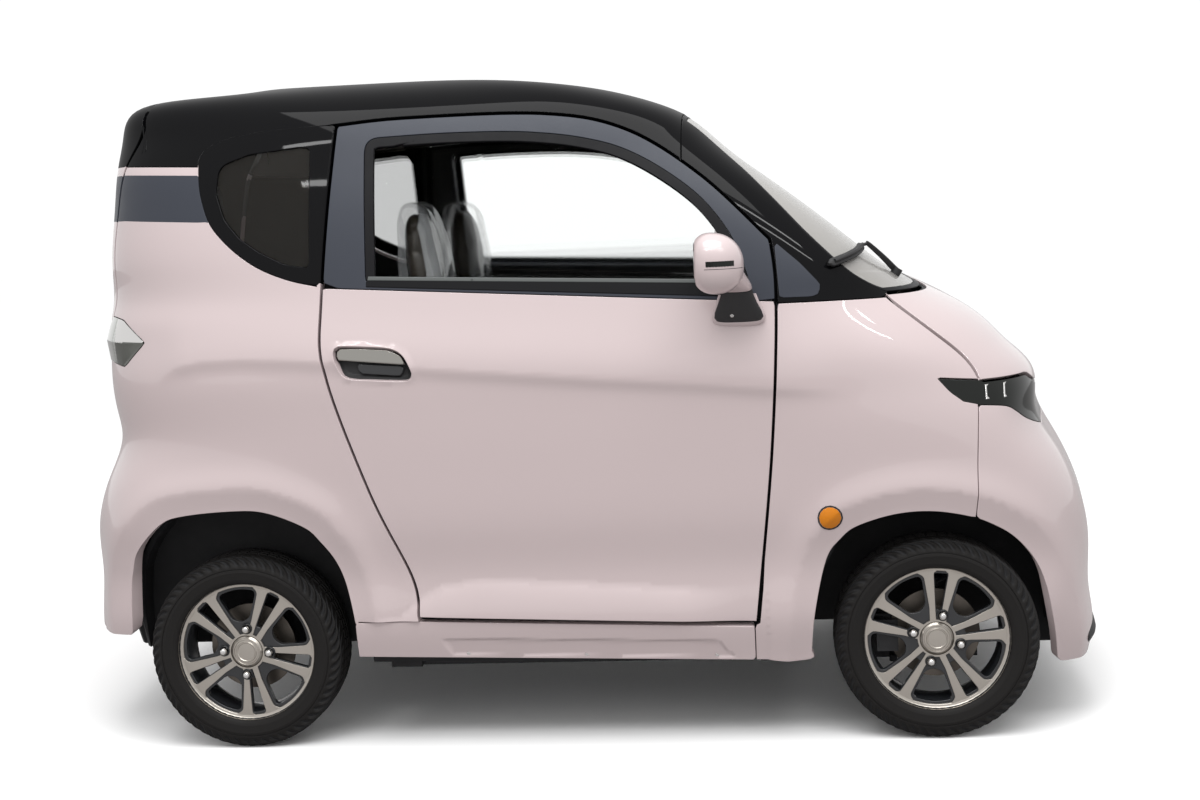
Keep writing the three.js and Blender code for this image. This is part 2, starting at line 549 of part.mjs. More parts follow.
// ---------------------------------------------------------------- wheels
const wheelHalf = tyreWidth / 2;
const tyreProfile = [
  [rimRadius, -62], [rimRadius + 14, -69], [214, -wheelHalf], [236, -70], [248, -58], [tyreRadius, -40],
  [tyreRadius, 40], [248, 58], [236, 70], [214, wheelHalf], [rimRadius + 14, 69], [rimRadius, 62]];
const rimProfile = [
  [168, -60], [rimRadius - seatGap, -60], [rimRadius - seatGap, 60], [172, 62], [160, 40], [160, -40]];
const closed = (profile) => [...profile, profile[0]];
const tyre = turned(closed(tyreProfile), 28);
const hubBore = 14 + pinGap;
const spokes = [];
for (let i = 0; i < 5; i++)
  for (const lean of [-0.16, 0.16]) {
    const angle = (2 * Math.PI * i) / 5 + lean;
    const at = (radius, turn) => [radius * Math.sin(angle + turn), radius * Math.cos(angle + turn)];
    const outline = [at(40, -0.25), at(168, -0.05), at(168, 0.05), at(40, 0.25)];
    spokes.push(sidePrism(outline, 34, 52));
  }
const rim = joined(
  turned(closed(rimProfile), 28),
  ...spokes,
  turned([[0, 20], [58, 20], [62, 44], [40, 56], [0, 60]], 18),
  turned([[0, -8], [46, -8], [46, 30], [0, 30]], 18),
  turned([[0, -18], [112, -18], [112, -8], [0, -8]], 24),
).subtract(turned([[0, -60], [hubBore, -60], [hubBore, 12], [0, 12]], 16));
const wheels = [
  ["front_left", frontAxleX, 1], ["front_right", frontAxleX, -1],
  ["rear_left", rearAxleX, 1], ["rear_right", rearAxleX, -1]];
for (const [name, x, side] of wheels) {
  const where = new THREE.Matrix4().makeRotationZ(side > 0 ? 0 : Math.PI)
    .setPosition(x, (side * track) / 2, tyreRadius);
  add(`tyre_${name}`, placed(tyre, where), rubber);
  add(`rim_${name}`, placed(rim, where), alloy);
}

// ---------------------------------------------------------------- knuckles, axles, drive
const kingpinY = track / 2 - 40;
const spindleRadius = 14;
for (const [name, side] of sides) {
  const y = side * kingpinY;
  const wheelY = (side * track) / 2;
  add(`knuckle_${name}`, joined(
    bar([frontAxleX, y, armZ.low + 12], [frontAxleX, y, armZ.high - 12], 13),
    bar([frontAxleX, y, tyreRadius], [frontAxleX, wheelY + side * 8, tyreRadius], spindleRadius, 20),
    block(frontAxleX - 130, frontAxleX, ...spread(side, kingpinY - 8, kingpinY + 8), tyreRadius - 16, tyreRadius + 16),
    block(frontAxleX - 145, frontAxleX - 88, ...spread(side, kingpinY - 8, kingpinY + 12),
      tyreRadius - 45, tyreRadius + 45),
    block(frontAxleX - 145, frontAxleX - 122, ...spread(side, kingpinY - 8, kingpinY + 56),
      tyreRadius - 40, tyreRadius + 40),
    block(frontAxleX - 145, frontAxleX - 92, ...spread(side, kingpinY + 42, kingpinY + 56),
      tyreRadius - 40, tyreRadius + 40),
    bar([frontAxleX, y, 192], [frontAxleX - 100, y - side * 20, 192], 9),
  ), castSteel);
}
const armFoot = frontWell.inner - 20;
const suspension = [];
for (const [, side] of sides) {
  for (const z of [armZ.low, armZ.high]) {
    const joint = [frontAxleX, side * kingpinY, z];
    suspension.push(bar([frontAxleX - 90, side * armFoot, z], joint, 10), bar([frontAxleX + 90, side * armFoot, z], joint, 10));
    suspension.push(bar([frontAxleX, side * kingpinY, z - 11.5], [frontAxleX, side * kingpinY, z + 11.5], 12));
  }
  suspension.push(block(frontAxleX - 190, frontAxleX + 130, ...spread(side, armFoot - 40, armFoot - seatGap), 130, 400));
}
const rackX = frontAxleX - 100;
suspension.push(block(frontAxleX - 190, frontAxleX - 150, 20 - armFoot, armFoot - 20, 130, 170));
suspension.push(block(frontAxleX + 90, frontAxleX + 130, 20 - armFoot, armFoot - 20, 130, 170));
add("front_suspension",
  joined(...suspension).subtract(bar([rackX, -500, 176], [rackX, 500, 176], 11 + pinGap)), castSteel);

add("steering_rack", joined(
  bar([rackX, 125 - kingpinY, 176], [rackX, kingpinY - 125, 176], 11),
  ...sides.map(([, side]) => bar([rackX, side * (kingpinY - 135), 176], [rackX, side * (kingpinY - 20), 174], 7)),
  ...sides.map(([, side]) =>
    bar([rackX, side * (kingpinY - 20), 166], [rackX, side * (kingpinY - 20), 182.4], 10)),
), castSteel);

add("rear_axle", joined(
  bar([rearAxleX, -track / 2 - 8, tyreRadius], [rearAxleX, track / 2 + 8, tyreRadius], spindleRadius, 20),
  bar([rearAxleX, 55 - track / 2, tyreRadius], [rearAxleX, track / 2 - 55, tyreRadius], 34, 20),
  turned([[0, -60], [95, -60], [95, 60], [0, 60]], 24).translate([rearAxleX, 60, tyreRadius]),
  block(rearAxleX + 60, rearAxleX + 240, -40, 160, 190, 320),
  ...sides.map(([, side]) =>
    block(rearAxleX + 10, -556 - seatGap, ...spread(side, rearWell.inner - 85, rearWell.inner - 45), 222, 282)),
), castSteel);
add("battery", block(-500, 520, -400, 400, 132, floorZ[0] - seatGap), castSteel);

// ---------------------------------------------------------------- the part
const box = new THREE.Box3();
const group = new THREE.Group();
for (const { name, body, look } of pieces) {
  const mesh = new THREE.Mesh(geometryOf(body), new THREE.MeshStandardMaterial(look));
  mesh.name = name;
  mesh.geometry.computeBoundingBox();
  box.union(mesh.geometry.boundingBox);
  group.add(mesh);
}
const middleX = (box.min.x + box.max.x) / 2;
for (const mesh of group.children) mesh.geometry.translate(-middleX, 0, 0);
export default group;
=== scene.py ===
import math
import bmesh
import bpy
import numpy as np
from mathutils import Matrix, Vector
from mathutils.geometry import delaunay_2d_cdt


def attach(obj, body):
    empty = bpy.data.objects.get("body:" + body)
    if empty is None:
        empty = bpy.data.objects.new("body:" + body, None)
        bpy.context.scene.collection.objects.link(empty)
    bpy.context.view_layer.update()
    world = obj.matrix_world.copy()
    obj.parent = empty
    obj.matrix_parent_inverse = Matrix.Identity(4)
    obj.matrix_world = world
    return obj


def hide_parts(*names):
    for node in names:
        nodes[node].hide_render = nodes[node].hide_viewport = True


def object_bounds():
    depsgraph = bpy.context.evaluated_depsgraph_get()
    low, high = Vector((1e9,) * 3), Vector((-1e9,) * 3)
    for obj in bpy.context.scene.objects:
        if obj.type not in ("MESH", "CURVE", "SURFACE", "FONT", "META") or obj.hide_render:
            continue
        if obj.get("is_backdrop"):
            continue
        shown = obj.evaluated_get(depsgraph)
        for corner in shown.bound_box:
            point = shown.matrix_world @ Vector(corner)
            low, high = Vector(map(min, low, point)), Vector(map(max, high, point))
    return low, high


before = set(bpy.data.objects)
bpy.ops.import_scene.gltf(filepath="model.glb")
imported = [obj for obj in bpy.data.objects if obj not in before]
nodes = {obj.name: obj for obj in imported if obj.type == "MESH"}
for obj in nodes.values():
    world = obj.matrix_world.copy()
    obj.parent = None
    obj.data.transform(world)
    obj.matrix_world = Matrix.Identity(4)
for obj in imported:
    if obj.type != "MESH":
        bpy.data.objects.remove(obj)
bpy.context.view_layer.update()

# Sizes are in millimetres from the middle of the wheelbase, as the body's drawings are; placed()
# turns them into metres in the car's frame.
middle = 20.0
wheelbase = 1752.0
track = 1250.0
tyreRadius = 252.0
axleX = {"front": wheelbase / 2, "rear": -wheelbase / 2}
sideSign = {"left": 1, "right": -1}
insidePoint = np.array([-150.0, 0, 900.0])


def placed(points):
    """Millimetres from the drawings' origin to metres in the car's frame."""
    out = np.array(points, float) * 0.001
    out[..., 0] += middle * 0.001
    return out


# Materials.
def material(name, colour, roughness=0.5, metallic=0.0, coat=0.0, transmission=0.0, alpha=1.0,
             ior=1.45, bump=None, noise=None, specular=0.5):
    """A node material. bump = (scale, distance), noise = (scale, amount) varies the roughness."""
    made = bpy.data.materials.new(name)
    made.use_nodes = True
    tree = made.node_tree
    shader = tree.nodes["Principled BSDF"]
    for key, value in {"Base Color": (*colour, 1), "Roughness": roughness, "Metallic": metallic, "IOR": ior,
                       "Coat Weight": coat, "Coat Roughness": 0.03, "Transmission Weight": transmission,
                       "Alpha": alpha, "Specular IOR Level": specular}.items():
        shader.inputs[key].default_value = value
    where = tree.nodes.new("ShaderNodeTexCoord").outputs["Object"]

    def grain(scale, detail):
        node = tree.nodes.new("ShaderNodeTexNoise")
        node.inputs["Scale"].default_value = scale
        node.inputs["Detail"].default_value = detail
        tree.links.new(where, node.inputs["Vector"])
        return node.outputs["Fac"]

    if noise:
        spread = tree.nodes.new("ShaderNodeMapRange")
        spread.inputs["To Min"].default_value = max(0.0, roughness - noise[1])
        spread.inputs["To Max"].default_value = min(1.0, roughness + noise[1])
        tree.links.new(grain(noise[0], 4), spread.inputs["Value"])
        tree.links.new(spread.outputs["Result"], shader.inputs["Roughness"])
    if bump:
        raised = tree.nodes.new("ShaderNodeBump")
        raised.inputs["Distance"].default_value = bump[1]
        raised.inputs["Strength"].default_value = 1.0
        tree.links.new(grain(bump[0], 3), raised.inputs["Height"])
        tree.links.new(raised.outputs["Normal"], shader.inputs["Normal"])
    return made


paintPink = material("paint_pink", (0.455, 0.377, 0.379), 0.42, coat=0.8, noise=(3, 0.03))
glossBlack = material("gloss_black", (0.003, 0.003, 0.0035), 0.2, coat=0.22, specular=0.0, noise=(5, 0.03))
satinGrey = material("satin_grey", (0.03, 0.034, 0.045), 0.42, specular=0.3, bump=(900, 0.0001), noise=(20, 0.05))
blackPlastic = material("black_plastic", (0.012, 0.012, 0.013), 0.6, bump=(700, 0.0002), noise=(30, 0.08))
linerBlack = material("liner_black", (0.006, 0.006, 0.007), 0.75, bump=(200, 0.0004), noise=(15, 0.1))
rubberSeal = material("rubber_seal", (0.006, 0.006, 0.007), 0.5, specular=0.15, noise=(40, 0.08))
clearGlass = material("clear_glass", (0.93, 0.97, 0.96), 0.0, transmission=1.0, ior=1.02, alpha=0.35)
tintedGlass = material("tinted_glass", (0.02, 0.018, 0.015), 0.02, alpha=0.27, coat=0.35, specular=0.2)
filmGlass = material("film_glass", (0.31, 0.30, 0.285), 0.22, alpha=0.76, coat=0.3, noise=(6, 0.05))
alloyFace = material("alloy_face", (0.44, 0.41, 0.37), 0.34, metallic=1.0, noise=(60, 0.08))
alloyDark = material("alloy_dark", (0.012, 0.013, 0.015), 0.35, coat=0.4, noise=(30, 0.08))
chrome = material("chrome", (0.62, 0.61, 0.60), 0.08, metallic=1.0, noise=(20, 0.03))
darkChrome = material("dark_chrome", (0.3, 0.29, 0.27), 0.1, metallic=1.0, noise=(20, 0.03))
# The darker chrome of the tail lamp's lower facets: painted shade.
lampPaintedShade = material("lamp_painted_shade", (0.085, 0.088, 0.078), 0.16, metallic=0.5, coat=0.4, noise=(90, 0.08))
beltTrim = material("belt_trim", (0.075, 0.082, 0.08), 0.4, noise=(30, 0.05))
headCover = material("head_cover", (0.03, 0.024, 0.018), 0.45, bump=(500, 0.0003), noise=(40, 0.08))
# Darkened so that the brake disc behind the spokes is as dark as the inside of the wheel: painted shade. The hood
# arms and tailgate lugs share it.
steel = material("brake_steel", (0.13, 0.115, 0.1), 0.42, metallic=1.0, bump=(300, 0.0002), noise=(40, 0.1))
castIron = material("cast_iron", (0.03, 0.03, 0.032), 0.6, metallic=0.4, bump=(150, 0.0005), noise=(20, 0.1))
tyreRubber = material("tyre_rubber", (0.009, 0.0082, 0.0078), 0.6, specular=0.22, bump=(400, 0.0002),
                      noise=(30, 0.1))
lensSmoke = material("lens_smoke", (0.008, 0.009, 0.008), 0.12, coat=0.28, specular=0.1)
lensClear = material("lens_clear", (0.36, 0.37, 0.35), 0.1, metallic=0.7, coat=0.8, noise=(90, 0.08))
lensOrange = material("lens_orange", (0.5, 0.16, 0.006), 0.3, coat=0.2, specular=0.15, bump=(120, 0.0008))
cabinTrim = material("cabin_trim", (0.035, 0.034, 0.034), 0.65, bump=(600, 0.0002), noise=(25, 0.06))
headliner = material("headliner", (0.25, 0.24, 0.23), 0.9, bump=(900, 0.0003), noise=(30, 0.05))
clearFilm = material("clear_film", (0.8, 0.82, 0.85), 0.06, alpha=0.28, coat=1.0, specular=1.0)
seatCloth = material("seat_cloth", (0.05, 0.055, 0.075), 0.8, bump=(1200, 0.0003), noise=(60, 0.08))
print("stage: materials")


# The body's surface.
# One ring round the car per row: height and half width at the side, the middle of the ring, then
# height, reach and squareness at the nose, and the same at the tail; last, how far both corners are
# pressed in.
levels = np.array([
    # zSide halfWidth xMid zFront xFront nFront zRear xRear nRear noseCut tailCut
    [140, 690, 0, 140, 1285, 6, 140, -1330, 6, 0, 0],
    [230, 708, 0, 230, 1322, 6, 230, -1352, 6, 15, 4],
    [330, 730, 0, 330, 1334, 6, 330, -1368, 6, 38, 22],
    [440, 722, 0, 440, 1332.5, 6, 440, -1374, 6, 33, 34],
    [560, 735, 0, 560, 1312, 6, 560, -1370, 6, 31, 33],
    [690, 743, 0, 690, 1256, 6, 690, -1338, 5.5, 34, 33],
    [800, 747, 0, 800, 1206, 5.7, 800, -1280, 5, 35, 11],
    [870, 749, 0, 878, 1188, 5, 870, -1278, 5, 16, 2],
    [960, 750, 0, 962, 1103, 4.8, 960, -1283, 5, 0, 0],
    [1050, 738, 0, 1053, 1002, 4.4, 1050, -1286, 4.8, 0, 0],
    [1105, 727, 0, 1115, 884, 4.8, 1105, -1286, 4.7, 0, 0],
    [1150, 718, 0, 1150, 822, 5.5, 1150, -1284, 4.5, 0, 0],
    [1250, 697, 0, 1250, 696, 6.5, 1250, -1278, 4.8, 0, 0],
    [1400, 660, -50, 1400, 509, 6.5, 1400, -1258, 5.2, 0, 0],
    [1500, 628, -100, 1500, 384, 6, 1500, -1247, 5.3, 0, 0],
    [1585, 595, -150, 1585, 278, 5.5, 1585, -1238, 5, 0, 0],
    [1640, 548, -250, 1637, 140, 5, 1655, -1197, 5.7, 0, 0],
    [1683, 450, -350, 1666, 0, 4, 1686, -1043, 4, 0, 0],
    [1702, 300, -560, 1695, -220, 3, 1708, -900, 3, 0, 0],
    [1714, 120, -640, 1711, -500, 2.4, 1716, -780, 2.4, 0, 0],
    [1717, 0, -650, 1717, -650, 2, 1717, -650, 2, 0, 0],
], float)


def splined(at, values, fine):
    """Natural cubic spline through the rows of values, sampled at fine."""
    count, step = len(at), np.diff(at)
    system, right = np.zeros((count, count)), np.zeros(values.shape)
    system[0, 0] = system[-1, -1] = 1
    for i in range(1, count - 1):
        system[i, i - 1 : i + 2] = step[i - 1], 2 * (step[i - 1] + step[i]), step[i]
        right[i] = 6 * ((values[i + 1] - values[i]) / step[i] - (values[i] - values[i - 1]) / step[i - 1])
    bend = np.linalg.solve(system, right)
    k = np.clip(np.searchsorted(at, fine, side="right") - 1, 0, count - 2)
    a, b, h = (at[k + 1] - fine)[:, None], (fine - at[k])[:, None], step[k][:, None]
    return (bend[k] * a**3 + bend[k + 1] * b**3) / (6 * h) + (values[k] / h - bend[k] * h / 6) * a + (
        values[k + 1] / h - bend[k + 1] * h / 6) * b


def ramp(x, low, high):
    """0 below low, 1 above high and an even slope without corners between."""
    t = np.clip((x - low) / (high - low), 0, 1)
    return t * t * (3 - 2 * t)


def smooth(points, count):
    """Catmull-Rom curve through the given points."""
    p = np.array(points, float)
    t = np.linspace(0, len(p) - 1, count)
    i = np.minimum(t.astype(int), len(p) - 2)
    f = (t - i)[:, None]
    p0, p1, p2, p3 = p[np.maximum(i - 1, 0)], p[i], p[i + 1], p[np.minimum(i + 2, len(p) - 1)]
    v0, v1 = (p2 - p0) / 2, (p3 - p1) / 2
    return (2 * p1 - 2 * p2 + v0 + v1) * f**3 + (-3 * p1 + 3 * p2 - 2 * v0 - v1) * f**2 + v0 * f + p1


def pathLength(path):
    """The distance along a flat path at each of its points."""
    return np.r_[0, np.cumsum(np.hypot(*np.diff(path, axis=0).T))]


def unit(v, least=1e-12):
    """Vectors brought to length one; least keeps a vector of no length from dividing by zero."""
    return v / (np.linalg.norm(v, axis=-1, keepdims=True) + least)


rise = pathLength(levels[:, :2])
riseFine = np.linspace(0, rise[-1], 4000)
levelsFine = splined(rise, levels, riseFine)
levelsFine[:, [5, 8]] = np.clip(levelsFine[:, [5, 8]], 2, 8)
levelsFine[:, 1] = np.maximum(levelsFine[:, 1], 0)
angleFine = np.linspace(0, math.pi, 2001)


def rowsAt(w):
    """The eleven columns of levels at a rise w."""
    return [np.interp(w, riseFine, column) for column in levelsFine.T]


def ring(angle, w):
    """The surface at a rise w and an angle seen from above, from 0 at the nose by the right side to pi."""
    zSide, halfWidth, xMid, zFront, xFront, nFront, zRear, xRear, nRear, noseCut, tailCut = rowsAt(w)
    ahead = np.cos(angle) >= 0
    n = np.where(ahead, nFront, nRear)
    along, across = np.abs(np.cos(angle)), np.abs(np.sin(angle))
    scale = (along**n + across**n) ** (-1 / n)
    share = along * scale
    xEnd, zEnd = np.where(ahead, xFront, xRear), np.where(ahead, zFront, zRear)
    cut = np.where(ahead, -noseCut, tailCut) * ramp(across * scale, 0.1, 0.6) * ramp(share, 0.84, 0.97)
    return np.stack([xMid + (xEnd - xMid) * share + cut, -np.sign(np.sin(angle)) * halfWidth * across * scale,
                     zSide + (zEnd - zSide) * share**3], -1)


lap = ring(angleFine, np.full(2001, np.interp(900, levelsFine[:, 0], riseFine)))
lapLength = np.r_[0, np.cumsum(np.linalg.norm(np.diff(lap, axis=0), axis=1))]
lapHalf = lapLength[-1]


def skinPoint(u, w):
    """The surface at u millimetres round the car from the nose, right side first, and w up its side."""
    u = (u + lapHalf) % (2 * lapHalf) - lapHalf
    return ring(np.sign(u) * np.interp(np.abs(u), lapLength, angleFine), w)


def onTop(a, b):
    """The surface over a flat map round the crown: distance from it is the way down, direction the angle."""
    return ring(np.arctan2(b, a), rise[-1] - np.hypot(a, b))


def toTop(uw):
    """Points (u, w) on the flat map round the crown."""
    u = (uw[:, 0] + lapHalf) % (2 * lapHalf) - lapHalf
    angle = np.sign(u) * np.interp(np.abs(u), lapLength, angleFine)
    down = rise[-1] - uw[:, 1]
    return np.stack([down * np.cos(angle), down * np.sin(angle)], 1)


def climbed(z, shareAt):
    """The rise w of height z on the surface, for the share of its reach that shareAt(rows) gives.

    shareAt also gives the height at the end of that reach. Returns w, the share and the rows there.
    """
    shift = 0.0 * z
    for _ in range(14):
        w = np.interp(z - shift, levelsFine[:, 0], riseFine)
        rows = rowsAt(w)
        share, zEnd = shareAt(rows)
        shift = (zEnd - rows[0]) * share**3
    return w, share, rows


def locate(x, z):
    """(u, w) of the right side's point at x and z."""
    x, z = np.broadcast_arrays(np.asarray(x, float), np.asarray(z, float))

    def shareAt(rows):
        ahead = x >= rows[2]
        xEnd = np.where(ahead, rows[4], rows[7])
        return np.clip((x - rows[2]) / (xEnd - rows[2]), 0, 1), np.where(ahead, rows[3], rows[6])

    w, share, rows = climbed(z, shareAt)
    ahead = x >= rows[2]
    n = np.where(ahead, rows[5], rows[8])
    angle = np.arctan2((1 - share**n) ** (1 / n), share)
    angle = np.where(ahead, angle, math.pi - angle)
    return np.stack([np.interp(angle, angleFine, lapLength), w], -1)


def locateAcross(y, z, rear):
    """(u, w) of the nose's or the tail's point at y to the right of the middle and height z."""
    y, z = np.broadcast_arrays(np.abs(np.asarray(y, float)), np.asarray(z, float))
    zEnd, n = (6, 8) if rear else (3, 5)

    def shareAt(rows):
        return (1 - np.clip(y / rows[1], 0, 1) ** rows[n]) ** (1 / rows[n]), rows[zEnd]

    w, share, rows = climbed(z, shareAt)
    angle = np.arctan2(np.clip(y / rows[1], 0, 1), share)
    angle = math.pi - angle if rear else angle
    return np.stack([np.interp(angle, angleFine, lapLength), w], -1)


def heightLine(z, u0, u1, count=60):
    """(u, w) along the line of one height, from u0 to u1 round the car."""
    u = np.linspace(u0, u1, count)
    angle = np.interp(np.abs(u), lapLength, angleFine)
    ahead, along, over = np.cos(angle) >= 0, np.abs(np.cos(angle)), np.abs(np.sin(angle))

    def shareAt(rows):
        n = np.where(ahead, rows[5], rows[8])
        return along * (along**n + over**n) ** (-1 / n), np.where(ahead, rows[3], rows[6])

    return np.stack([u, climbed(z + 0 * u, shareAt)[0]], 1)


# Panels.
def insidePolygon(points, loop):
    """True for the points inside a closed loop."""
    x, y = points[:, 0][:, None], points[:, 1][:, None]
    x0, y0 = loop[:, 0][None], loop[:, 1][None]
    x1, y1 = np.roll(loop[:, 0], -1)[None], np.roll(loop[:, 1], -1)[None]
    with np.errstate(divide="ignore", invalid="ignore"):
        left = x < (x1 - x0) * (y - y0) / (y1 - y0) + x0
    return (((y0 > y) != (y1 > y)) & left).sum(1) % 2 == 1


def pathDistance(points, path, closed=True):
    """Distance from each point to a path."""
    a, b = (path, np.roll(path, -1, 0)) if closed else (path[:-1], path[1:])
    d = b - a
    squared = (d**2).sum(1) + 1e-9
    best = np.full(len(points), 1e9)
    for start in range(0, len(points), 4000):
        p = points[start : start + 4000]
        t = np.clip(((p[:, None] - a[None]) * d[None]).sum(2) / squared[None], 0, 1)
        near = a[None] + d[None] * t[..., None]
        best[start : start + 4000] = np.sqrt(((p[:, None] - near) ** 2).sum(2)).min(1)
    return best


def evenly(run, spacing):
    """An open path with points about spacing apart."""
    length = pathLength(run)
    at = np.linspace(0, length[-1], max(1, int(round(length[-1] / spacing))) + 1)
    return np.stack([np.interp(at, length, run[:, 0]), np.interp(at, length, run[:, 1])], 1)


def resampled(loop, spacing):
    """A closed loop with points about spacing apart that keeps its sharp corners."""
    loop = loop[np.hypot(*(loop - np.roll(loop, 1, 0)).T) > 0.2]
    before, after = loop - np.roll(loop, 1, 0), np.roll(loop, -1, 0) - loop
    turn = np.abs(np.arctan2(before[:, 0] * after[:, 1] - before[:, 1] * after[:, 0], (before * after).sum(1)))
    corners = np.flatnonzero(turn > 0.35)
    loop = np.roll(loop, -corners[0] if len(corners) else 0, axis=0)
    corners = (corners - corners[0]).tolist() if len(corners) else [0]
    around = np.concatenate([loop, loop[:1]])
    runs = [around[a : b + 1] for a, b in zip(corners, corners[1:] + [len(loop)])]
    return np.concatenate([evenly(run, spacing)[:-1] for run in runs])


def area(loop):
    """A loop's area, negative when it runs clockwise."""
    x, y = loop.T
    return 0.5 * (x * np.roll(y, -1) - y * np.roll(x, -1)).sum()


def offsetLoop(loop, distance):
    """The loop moved inwards by distance, or outwards when it is negative."""
    into, out = unit(loop - np.roll(loop, 1, 0), 1e-9), unit(np.roll(loop, -1, 0) - loop, 1e-9)
    n = unit(np.stack([-(into[:, 1] + out[:, 1]), into[:, 0] + out[:, 0]], 1), 1e-9)
    stretch = np.maximum(0.5, (n * np.stack([-into[:, 1], into[:, 0]], 1)).sum(1))
    return loop + math.copysign(1, area(loop)) * n * (distance / stretch)[:, None]


def shifted(path, distance):
    """An open path moved to its left by distance."""
    path = np.array(path, float)
    along = unit(np.gradient(path, axis=0), 1e-9)
    return path + np.stack([-along[:, 1], along[:, 0]], 1) * distance


def meshObject(name, data):
    """An object from a piece's data: vertices, faces as index arrays each of one width, and the rest."""
    mesh = bpy.data.meshes.new(name)
    verts, blocks = placed(data["verts"]), data["faces"]
    loops = np.concatenate([b.ravel() for b in blocks])
    sizes = np.concatenate([np.full(len(b), b.shape[1]) for b in blocks])
    mesh.vertices.add(len(verts))
    mesh.vertices.foreach_set("co", verts.ravel().astype(np.float32))
    mesh.loops.add(len(loops))
    mesh.loops.foreach_set("vertex_index", loops.astype(np.int32))
    mesh.polygons.add(len(sizes))
    mesh.polygons.foreach_set("loop_start", np.r_[0, np.cumsum(sizes)[:-1]].astype(np.int32))
    mesh.polygons.foreach_set("loop_total", sizes.astype(np.int32))
    for m in data["mats"]:
        mesh.materials.append(m)
    mesh.polygons.foreach_set("material_index", data["faceMats"].astype(np.int32))
    mesh.polygons.foreach_set("use_smooth", np.ones(len(sizes), bool))
    mesh.update()
    mesh.validate()
    if data["normals"] is not None:
        mesh.normals_split_custom_set_from_vertices([tuple(n) for n in data["normals"]])
    made = bpy.data.objects.new(name, mesh)
    bpy.context.scene.collection.objects.link(made)
    return made


def gridFaces(rows, cols, wrapCols=False):
    """Quads between rows of points."""
    r, c = np.meshgrid(np.arange(rows - 1), np.arange(cols if wrapCols else cols - 1), indexing="ij")
    n = (c + 1) % cols
    return np.stack([r * cols + c, r * cols + n, (r + 1) * cols + n, (r + 1) * cols + c], -1).reshape(-1, 4)


def delaunay(points, edges, least):
    """Points and triangles of a flat mesh that keeps the given edges."""
    made = delaunay_2d_cdt([Vector(p) for p in points], edges, [], 0, least)
    return np.array([tuple(v) for v in made[0]]), np.array([f for f in made[2] if len(f) == 3])


def triangulated(loops, lines, spacing):
    """Even triangles inside the first loop and outside the others, with the lines among their edges."""
    low, high = loops[0].min(0), loops[0].max(0)
    gx, gy = np.meshgrid(np.arange(low[0], high[0], spacing), np.arange(low[1], high[1], spacing * 0.866))
    gx[1::2] += spacing / 2
    points = np.stack([gx.ravel(), gy.ravel()], 1)
    points = points[insidePolygon(points, loops[0])]
    for k, loop in enumerate(loops):
        if k:
            points = points[~insidePolygon(points, loop)]
        points = points[pathDistance(points, loop) > spacing * 0.55]
    for line in lines:
        points = points[pathDistance(points, line, closed=False) > spacing * 0.5]
    edges, count = [], 0
    for run, closed in [(loop, True) for loop in loops] + [(line, False) for line in lines]:
        index = np.arange(len(run)) + count
        edges += list(zip(index.tolist(), np.roll(index, -1).tolist()))[: len(run) if closed else -1]
        count += len(run)
    ab, tris = delaunay(np.concatenate([*loops, *lines, points]), edges, 1e-4)
    centres = ab[tris].mean(1)
    keep = insidePolygon(centres, loops[0])
    for hole in loops[1:]:
        keep &= ~insidePolygon(centres, hole)
    return ab, tris[keep]


